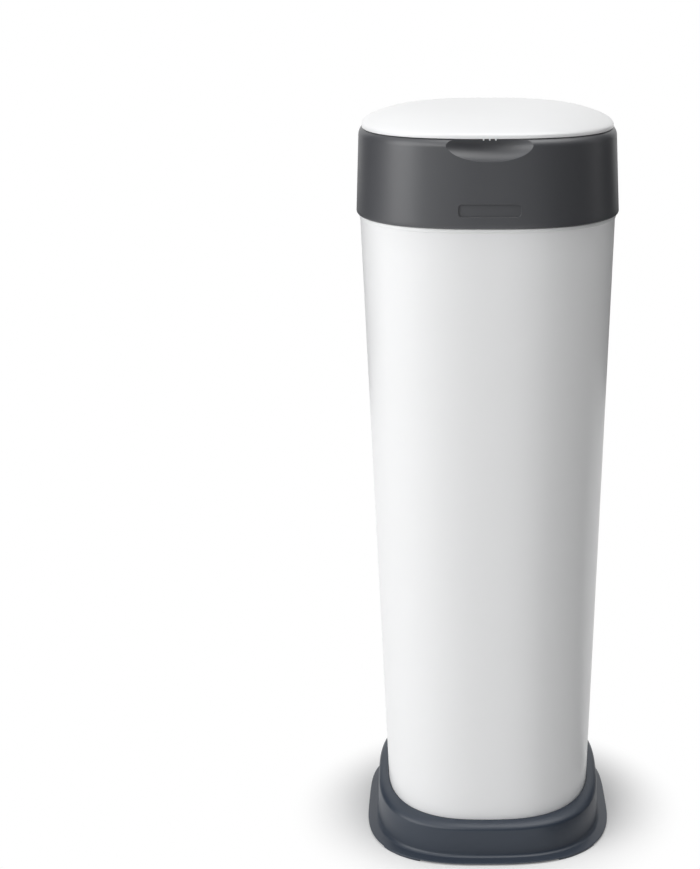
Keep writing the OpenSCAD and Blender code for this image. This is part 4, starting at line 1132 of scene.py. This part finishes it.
@dataclass
class Lid:
    """White domed lid with its liner, seal, grip ribs and swinging knuckles."""

    levels: Levels
    inset: float = 5.7
    edge_z: float = 647.264
    edge_h: float = 3.8
    rise: float = 13.46
    flat: float = 4.1
    wall: float = 2.2
    inner_z: float = 648.556
    crown_r: float = 1.6
    mouth_inset: float = 14.5
    plug_gap: float = 0.9
    plug_wall: float = 2.6
    plug_low: float = 640.4
    groove: float = 1.2
    seal_h: float = 2.6
    rib_pitch: float = 4.9
    rib_h: float = 1.1
    rib_half: float = 0.6
    rib_span: Place = (0.5, 3.5)
    rib_round: float = 0.35
    root: float = 2.0
    arm_up: float = 0.6
    arm_round: float = 0.2
    screw_xy: Place = (60.0, 62.4)
    screw_pad_r: float = 5.4
    screw_well_r: float = 3.4

    @property
    def section(self) -> Section:
        """Outline of the lid's edge."""
        return self.levels.head.less(self.inset)

    def build(self) -> None:
        """Builds the dome, the liner and the seal and dresses them."""
        hinge, section, top = self.levels.lid_hinge, self.section, self.edge_z + self.root
        notches = hinge.barrels(hinge.fixed_spans(self.levels.gap), hinge.pocket_gap)
        dome = combined(spin_rings(self.dome_rings()), notches, Cut.TAKE)
        y, z = section.half_d - self.wall + self.arm_up, hinge.z + self.arm_up
        arms = [block((a, y, z), (b, hinge.y, top), self.arm_round) for a, b in hinge.swing_spans()]
        (front, back), half = (span - section.half_d for span in self.rib_span), self.rib_half
        low = self.edge_z - self.rib_h
        ribs = [
            block((x - half, front, low), (x + half, back, top), self.rib_round)
            for x in (-self.rib_pitch, 0.0, self.rib_pitch)
        ]
        knuckles = hinge.barrels(hinge.swing_spans(), 0.0, hinge.round_r)
        shape = merged([dome, knuckles, *arms, *ribs])
        add_piece("lid_dome", shape, "lid", Finish.WHITE, "lid_shell", crease=38.0)
        self.build_plug()

    def height(self, share: float) -> float:
        """Height of the dome at a share of its outline."""
        return self.edge_z + self.edge_h + self.rise * (1 - share**self.flat)

    @property
    def crown_share(self) -> float:
        """Share of the outline at which the rounding meets the dome."""
        return 1 - 2 * self.crown_r / self.section.half_w

    def dome_rings(self) -> list[AnyRing]:
        """Rings from the middle of the inner face, round the edge and up to the middle of the dome."""
        section, low, last = self.section, self.edge_z, self.crown_share
        thin = (section.half_w - self.wall) / section.half_w
        spread = [math.sin(t) for t in quarter(18)]
        edge = [(self.wall, self.inner_z), (0.7, low + 0.75), (0.15, low + 0.3)]
        edge += [(0.0, low + 0.55), (0.0, low + 1.4)]
        return [
            *(Ring(section, self.height(s) - self.wall, share=s * thin) for s in spread),
            *stacked(section, edge),
            *self.crown(),
            *(Ring(section, self.height(s * last), share=s * last) for s in reversed(spread[:-1])),
        ]

    def crown(self) -> list[AnyRing]:
        """Rounding between the upright edge and the dome, as a quadratic curve."""
        section, share, edge = self.section, self.crown_share, self.edge_z + self.edge_h
        in_x, in_z = (1 - share) * section.half_w, self.height(share)
        rings = []
        for t in (k / 8 for k in range(8)):
            z = (1 - t) ** 2 * (edge - self.crown_r) + 2 * t * (1 - t) * edge + t * t * in_z
            rings.append(Ring(section, z, share=1 - t * t * in_x / section.half_w))
        return [*rings, Ring(section, in_z, share=share)]

    def build_plug(self) -> None:
        """Builds the liner with its groove, and the seal in it."""
        plug = self.levels.head.less(self.mouth_inset + self.plug_gap)
        low, high, w, g, h = self.plug_low, self.edge_z + 1, self.plug_wall, self.groove, self.seal_h
        g0, g1 = low + 2.4, low + 2.6 + h
        points = [(0.8, low), (0.35, low + 0.15), (0.1, low + 0.4), (0.0, low + 0.8), (0.0, g0 - 0.15)]
        points += [(0.15, g0), (g, g0), (g, g1), (0.15, g1), (0.0, g1 + 0.15), (0.0, high - 0.3), (0.3, high)]
        points += [(w, high), (w, low + w + 0.8), (w + 0.8, low + w)]
        shares = (0.0, 0.5, 0.93)
        rings = [*capped(plug, low, *shares), *stacked(plug, points)]
        rings += capped(plug, low + w, *reversed(shares))
        places = corners(*self.screw_xy)
        shell = combined(spin_rings(rings), posts(places, low + 0.5, low + 5, self.screw_pad_r, 0.4), Cut.ADD)
        shell = combined(shell, posts(places, low - 1, low + 2.2, self.screw_well_r), Cut.TAKE)
        add_piece("lid_plug", shell, "lid", Finish.PALE, "lid_liner")
        z, out, root = g0 + 0.1, self.plug_gap - self.levels.gap, g - 0.1
        lip = [(root, z), (0.0, z), (-0.3 * out, z + 0.3 * h), (-out, z + 0.6 * h), (-out, z + 0.85 * h)]
        lip += [(-0.6 * out, z + 0.95 * h), (0.0, z + h), (root, z + h)]
        seal = spin_rings(stacked(plug, lip), closed=True)
        add_piece("lid_seal_ring", seal, "lid", Finish.SEAL, "lid_seal", crease=60.0)


@dataclass
class TwistUnit:
    """What turns with the film: twist ring, drawn film and pleated pack."""

    levels: Levels
    ring_t: float = 2.0
    ring_in: float = 66.0
    ring_out: float = 92.1
    grip_r: float = 78.0
    grip_w: float = 4.0
    grip_h: float = 4.6
    grip_angle: float = 50.0
    grip_round: float = 1.2
    lug_r: float = 91.15
    lug_w: float = 1.5
    lug_low: float = 2.6
    lug_angle: float = 7.6
    lug_round: float = 0.3
    core_r: float = 61.4
    core_in: float = 60.0
    throat_r: float = 58.0
    trough_z: float = 588.9
    pack_top: float = 627.2
    skirt_z: float = 575.4
    tip_z: float = 559.4
    tip_r: float = 33.0
    end_z: float = 526.4
    film_t: float = 0.6
    folds: int = 44
    pack_out: float = 87.7
    pack_gap: float = 1.6
    pleats: int = 18
    pleat: float = 1.0

    def build(self) -> None:
        """Builds the three pieces and dresses them."""
        self.build_ring()
        self.build_film()
        self.build_pack()

    def build_ring(self) -> None:
        """Builds the twist ring with four rounded finger grips."""
        deck, t = self.levels.deck, self.ring_t
        low, a, b = deck - t, self.ring_in, self.ring_out
        points = [(a, low - 1.6), (a + 0.3, low - 1.7), (a + 1.5, low - 1.7), (a + 1.8, low - 1.4)]
        points += [(a + 1.8, low), (b - 0.3, low), (b, low + 0.3), (b, deck - 0.5), (b - 0.15, deck - 0.15)]
        points += [(b - 0.5, deck), (a + 0.6, deck), (a + 0.18, deck - 0.18), (a, deck - 0.6)]
        shapes = [spin_rings([Round(r, z) for r, z in points], closed=True)]
        grip = (self.grip_angle, self.grip_r, self.grip_w, deck - 1, deck + self.grip_h, self.grip_round)
        lug = (self.lug_angle, self.lug_r, self.lug_w, low - self.lug_low, low + 0.4, self.lug_round)
        for bar, first in ((grip, 45), (lug, 0)):
            shapes += [self.arc_bar(angle, *bar) for angle in range(first, FULL_TURN, 90)]
        add_piece("twist_grips", merged(shapes), "carrier", Finish.WHITE, "twist_ring")

    @staticmethod
    def arc_bar(
        middle: float, span: float, radius: float, width: float, low: float, high: float, edge: float
    ) -> BMesh:
        """Bar bent round the axis with rounded edges.

        Args:
            middle: angle of its middle, in degrees.
            span: angle that it spans, in degrees.
            radius: its middle radius.
            width: its width.
            low: height of its underside.
            high: height of its top.
            edge: rounding of its edges.

        Returns:
            The closed bar.
        """
        shape = bmesh.new()
        start = Matrix.Rotation(math.radians(middle - span / 2), 4, "Z")
        inner, outer = radius - width / 2, radius + width / 2
        square = [(inner, low), (outer, low), (outer, high), (inner, high)]
        face = shape.faces.new([shape.verts.new(start @ Vector((r, 0, z))) for r, z in square])
        sweep(shape, [face, *face.edges, *face.verts], span, 28)
        soften(tidied(shape), edge, 4)
        return shape

    def build_film(self) -> None:
        """Builds the film drawn over the core and down to its knot, with gathered folds."""
        t, top, pack = self.film_t, self.levels.deck - self.ring_t + self.levels.gap, self.pack_top
        lead, inner, throat = self.core_r + 0.4, self.core_in - 0.4, self.throat_r - 0.5
        trough, skirt, tip_r, tip, end = self.trough_z, self.skirt_z, self.tip_r, self.tip_z, self.end_z
        outer = [
            (lead + t, pack, 0.0), (lead + t, top + t - 0.3, 0.0), (lead + t - 0.3, top + t, 0.0),
            (inner - t + 0.3, top + t, 0.0), (inner - t, top + t - 0.3, 0.1), (inner - t, top - 12, 0.5),
            (inner - t, trough + 3.6, 0.7), (throat - t, trough - 1, 0.6), (throat - t, skirt + 1, 0.8),
            (throat - t - 5, skirt - 3.4, 1.4), (tip_r + 9 - t, tip + 5.6, 2.0), (tip_r - t, tip + 0.6, 2.4),
            (tip_r - 2 - t, tip - 7, 2.6), (14, end + 14, 2.0), (3.2, end + 9.5, 0.6), (0.0, end + 8.0, 0.0),
        ]
        back = [
            (0.0, end, 0.0), (2.6, end + 0.15, 0.2), (4.0, end + 0.8, 0.4), (5.2, end + 2.2, 0.5),
            (5.6, end + 3.6, 0.6), (5.1, end + 5.2, 0.7), (4.2, end + 6.6, 0.8), (6, end + 9, 1.0),
            (14 + t, end + 13.4, 2.0), (tip_r - 2, tip - 7.4, 2.6), (tip_r, tip + 0.2, 2.4),
            (tip_r + 9, tip + 5.2, 2.0), (throat - 4.8, skirt - 4, 1.4), (throat, skirt + 0.8, 0.8),
            (throat, trough - 0.8, 0.6), (inner, trough + 3.8, 0.7), (inner, top - 12, 0.5),
            (inner, top, 0.1), (lead, top, 0.0), (lead, pack, 0.0),
        ]
        rings = [Round(r, z, ripple, self.folds) for r, z, ripple in [*outer, *back]]
        tube = spin_rings(rings, closed=True, sides=8 * self.folds)
        add_piece("film_tube", tube, "carrier", Finish.FILM, "film_sleeve", crease=70.0)

    def build_pack(self) -> None:
        """Builds the pleated film in the trough."""
        low, high = self.trough_z + 1.7, self.pack_top - 0.3
        inner, outer = self.core_r + self.pack_gap, self.pack_out
        turns = range(2 * self.pleats + 1)
        step = (high - low) / self.pleats
        rings = [Round(outer - self.pleat * (k % 2), low + step * k / 2, 0.25, 60) for k in turns]
        rings += [Round(inner + self.pleat * (k % 2), low + step * k / 2) for k in reversed(turns)]
        folds = spin_rings(rings, closed=True, sides=192)
        add_piece("film_folds", folds, "carrier", Finish.FILM, "film_pack", crease=70.0)


@dataclass
class Gripper:
    """Soft fingers under the well, rounded and slightly thickened at their tips."""

    levels: Levels
    root_r: float = 70.0
    outer_r: float = 95.2
    tip_r: float = 36.0
    top_z: float = 575.4
    flange_t: float = 2.0
    drop: float = 14.0
    thick: float = 1.4
    count: int = 10
    slot: float = 3.0
    screw_r: float = 89.8
    hole_r: float = 2.0

    def build(self) -> None:
        """Builds the flange with its fingers and dresses it."""
        low = self.top_z - self.flange_t
        root, tip, h = low + self.flange_t / 2, low - self.drop, self.thick / 2
        a, b, top = self.root_r, self.tip_r, self.top_z
        points = [(self.outer_r, low), (self.outer_r, top), (a, top), (a - 0.5, root + h)]
        points += [(b + 0.4, tip + self.thick), (b, tip + 1.1), (b, tip + 0.3)]
        points += [(b + 0.6, tip + 0.05), (a, low)]
        shell = spin_rings([Round(r, z) for r, z in points], closed=True)
        for k in range(self.count):
            turn = Matrix.Rotation(2 * math.pi * (k + 0.5) / self.count, 4, "Z")
            slot = block((0, -self.slot / 2, tip - 1), (a - 1, self.slot / 2, top + 2))
            bmesh.ops.transform(slot, matrix=turn, verts=slot.verts)
            shell = combined(shell, slot, Cut.TAKE)
        angles = [math.radians(45 + 90 * k) for k in range(4)]
        places = [(self.screw_r * math.cos(angle), self.screw_r * math.sin(angle)) for angle in angles]
        shell = combined(shell, posts(places, low - 1, top + 1, self.hole_r), Cut.TAKE)
        add_piece("gripper_fingers", shell, "head", Finish.FINGER, "film_gripper")


# Studio


@dataclass
class Studio:
    """Pale floor, soft light from the left and the photograph's camera."""

    camera_at: Point = (-0.0273, -1.5929, 0.8219)
    camera_turn: Point = (72.607, 0.0, -0.982)
    lens: float = 75.98
    shift: Place = (-0.1581, 0.0580)
    lamps: tuple[tuple[str, float, Point, Place], ...] = (
        ("key", 54.5, (-2.47, -1.1, 1.4), (2.0, 2.4)),
        ("top", 40.0, (0.45, -0.4, 2.8), (2.0, 2.0)),
        ("front", 19.5, (-1.3, -2.42, 1.8), (1.2, 1.2)),
        ("edge", 3.5, (2.56, 0.45, 1.2), (0.8, 2.0)),
    )
    aim: Point = (0.0, 0.0, 0.33)
    sky: float = 0.04
    floor_r: float = 9.0
    fade: Place = (0.1, 0.19)
    card_r: float = 4.5
    wall_z: Place = (-0.5, 4.0)
    wall_open: float = 35.0
    sheet_r: float = 1.55
    sheet_z: float = 0.003
    sheet_open: float = 70.0
    near_r: float = 0.16
    near_open: float = 150.0

    def build(self) -> None:
        """Builds the camera, the lamps, the world and the floor."""
        self.add_camera()
        for lamp in self.lamps:
            self.add_lamp(*lamp)
        self.add_world()
        self.add_floor()
        self.add_cards()
        bpy.context.scene.view_settings.view_transform = "Standard"

    def add_camera(self) -> None:
        """Adds the camera."""
        data = bpy.data.cameras.new("camera")
        data.lens = self.lens
        data.sensor_width = 36.0
        data.shift_x, data.shift_y = self.shift
        data.clip_start, data.clip_end = 0.05, 60.0
        camera = bpy.data.objects.new("camera", data)
        camera.location = self.camera_at
        camera.rotation_euler = [math.radians(angle) for angle in self.camera_turn]
        bpy.context.scene.collection.objects.link(camera)
        bpy.context.scene.camera = camera

    def add_lamp(self, name: str, watts: float, place: Point, size: Place) -> None:
        """Adds a soft lamp that faces the bin.

        Args:
            name: its name.
            watts: its power.
            place: where it stands.
            size: its width and height.
        """
        data = bpy.data.lights.new(name, "AREA")
        data.shape = "RECTANGLE"
        data.size, data.size_y = size
        data.energy = watts
        lamp = bpy.data.objects.new(name, data)
        lamp.location = place
        aim = Vector(self.aim) - Vector(place)
        lamp.rotation_euler = aim.to_track_quat("-Z", "Y").to_euler()
        bpy.context.scene.collection.objects.link(lamp)

    def add_world(self) -> None:
        """Adds an even world that the camera and mirrors see as white."""
        world = bpy.data.worlds.new("studio")
        bpy.context.scene.world = world
        world.use_nodes = True
        tree = world.node_tree
        tree.nodes.clear()
        output = tree.nodes.new("ShaderNodeOutputWorld")
        graph = Graph.over(tree, output)
        strength = self.sky + (1.0 - self.sky) * graph.seen()
        graph.surfaced(
            graph.add("ShaderNodeBackground", None, {"Color": (1.0, 1.0, 1.0, 1.0), "Strength": strength})
        )

    def add_floor(self) -> None:
        """Adds a pale floor that keeps the shadow near the bin and fades to white further off."""
        shape = bmesh.new()
        bmesh.ops.create_circle(shape, cap_ends=True, segments=96, radius=self.floor_r)
        floor = linked("floor", shape)
        graph = Graph("pale floor")
        place = graph.add("ShaderNodeTexCoord", output="Object")
        distance = graph.add("ShaderNodeVectorMath", {"operation": "LENGTH"}, {0: place}, output="Value")
        near, far = self.fade
        share = graph.add(
            "ShaderNodeMapRange", {"interpolation_type": "SMOOTHSTEP"}, {"Value": distance, 1: near, 2: far}
        )
        matte = graph.add("ShaderNodeBsdfDiffuse", None, {"Color": (0.9, 0.9, 0.9, 1.0)})
        glow = graph.add("ShaderNodeEmission", None, {"Color": (1.0, 1.0, 1.0, 1.0), "Strength": 1.0})
        mix = graph.add("ShaderNodeMixShader", None, {0: share * graph.seen(), 1: matte, 2: glow})
        floor.data.materials.append(graph.surfaced(mix))

    def add_cards(self) -> None:
        """Adds dark cards that only reflections show: round the front, behind and at the right."""
        graph = Graph("dark card")
        dark = graph.surfaced(graph.add("ShaderNodeBsdfDiffuse", None, {"Color": (0.02, 0.02, 0.02, 1.0)}))
        wall = [(0.0, self.card_r, z) for z in self.wall_z]
        near, sheet, rim = ((0.0, r, self.sheet_z) for r in (self.near_r, self.sheet_r, self.card_r))
        self.add_card("wall_card", wall, self.wall_open, FULL_TURN - self.wall_open, dark)
        self.add_card("sheet_card", [sheet, rim], -self.sheet_open, self.sheet_open, dark)
        self.add_card("side_card", [near, rim], -self.near_open, -self.sheet_open, dark)

    @staticmethod
    def add_card(
        name: str, line: Sequence[Point], start: float, end: float, material: bpy.types.Material
    ) -> None:
        """Adds a card swept round the bin.

        Args:
            name: its name.
            line: the two ends of the line that is swept.
            start: angle from the back at which it starts, in degrees.
            end: angle at which it ends.
            material: its material.
        """
        shape = bmesh.new()
        geom = chain(shape, line)
        bmesh.ops.transform(shape, matrix=Matrix.Rotation(math.radians(start), 4, "Z"), verts=shape.verts)
        sweep(shape, geom, end - start, 48)
        card = linked(name, shape)
        card.visible_camera = card.visible_diffuse = card.visible_shadow = False
        card.data.materials.append(material)


STEEL_NODES = (
    "foot_screws", "head_hinge_pin", "deck_screws", "clamp_screws", "cutter_blade", "pawl_pin", "pawl_spring",
    "lid_screws", "lid_hinge_pin",
)
CARRIED: dict[str, Finish] = {"foot_pads": Finish.PAD, **dict.fromkeys(STEEL_NODES, Finish.STEEL)}

REFINED: dict[str, tuple[str, str, Finish]] = {
    "inner_deck": ("deck", "head", Finish.PALE),
    "gripper_clamp": ("clamp_ring", "head", Finish.GREY),
    "cutter_slide": ("cutter_carriage", "cutter", Finish.WHITE),
    "ratchet_pawl": ("pawl", "pawl", Finish.GEAR),
    "cassette_carrier": ("turning_cup", "carrier", Finish.PALE),
    "ratchet_ring": ("ratchet_teeth", "carrier", Finish.GEAR),
    "cassette_body": ("refill_trough", "carrier", Finish.TRAY),
    "cassette_cap": ("refill_cover", "carrier", Finish.CAP),
}


def dress_nodes(nodes: dict[str, bpy.types.Object]) -> None:
    """Gives carried-over nodes their finish and replaces turned ones by smooth copies."""
    for name, finish in CARRIED.items():
        slots = nodes[name].data.materials
        slots.clear()
        slots.append(finish.material)
        LOG.info("%s: carried over", name)
    for name, (piece, body, finish) in REFINED.items():
        refined(nodes[name], piece, body, finish)


def main() -> None:
    """Builds every sub-assembly in order."""
    logging.basicConfig(level=logging.INFO, format="%(name)s %(message)s")
    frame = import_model()
    levels = Levels()
    for part in (Foot(levels), Tub(levels), Collar(levels), Lid(levels), TwistUnit(levels), Gripper(levels)):
        part.build()
    dress_nodes(frame["nodes"])
    Studio().build()


if __name__ == "__main__":
    main()
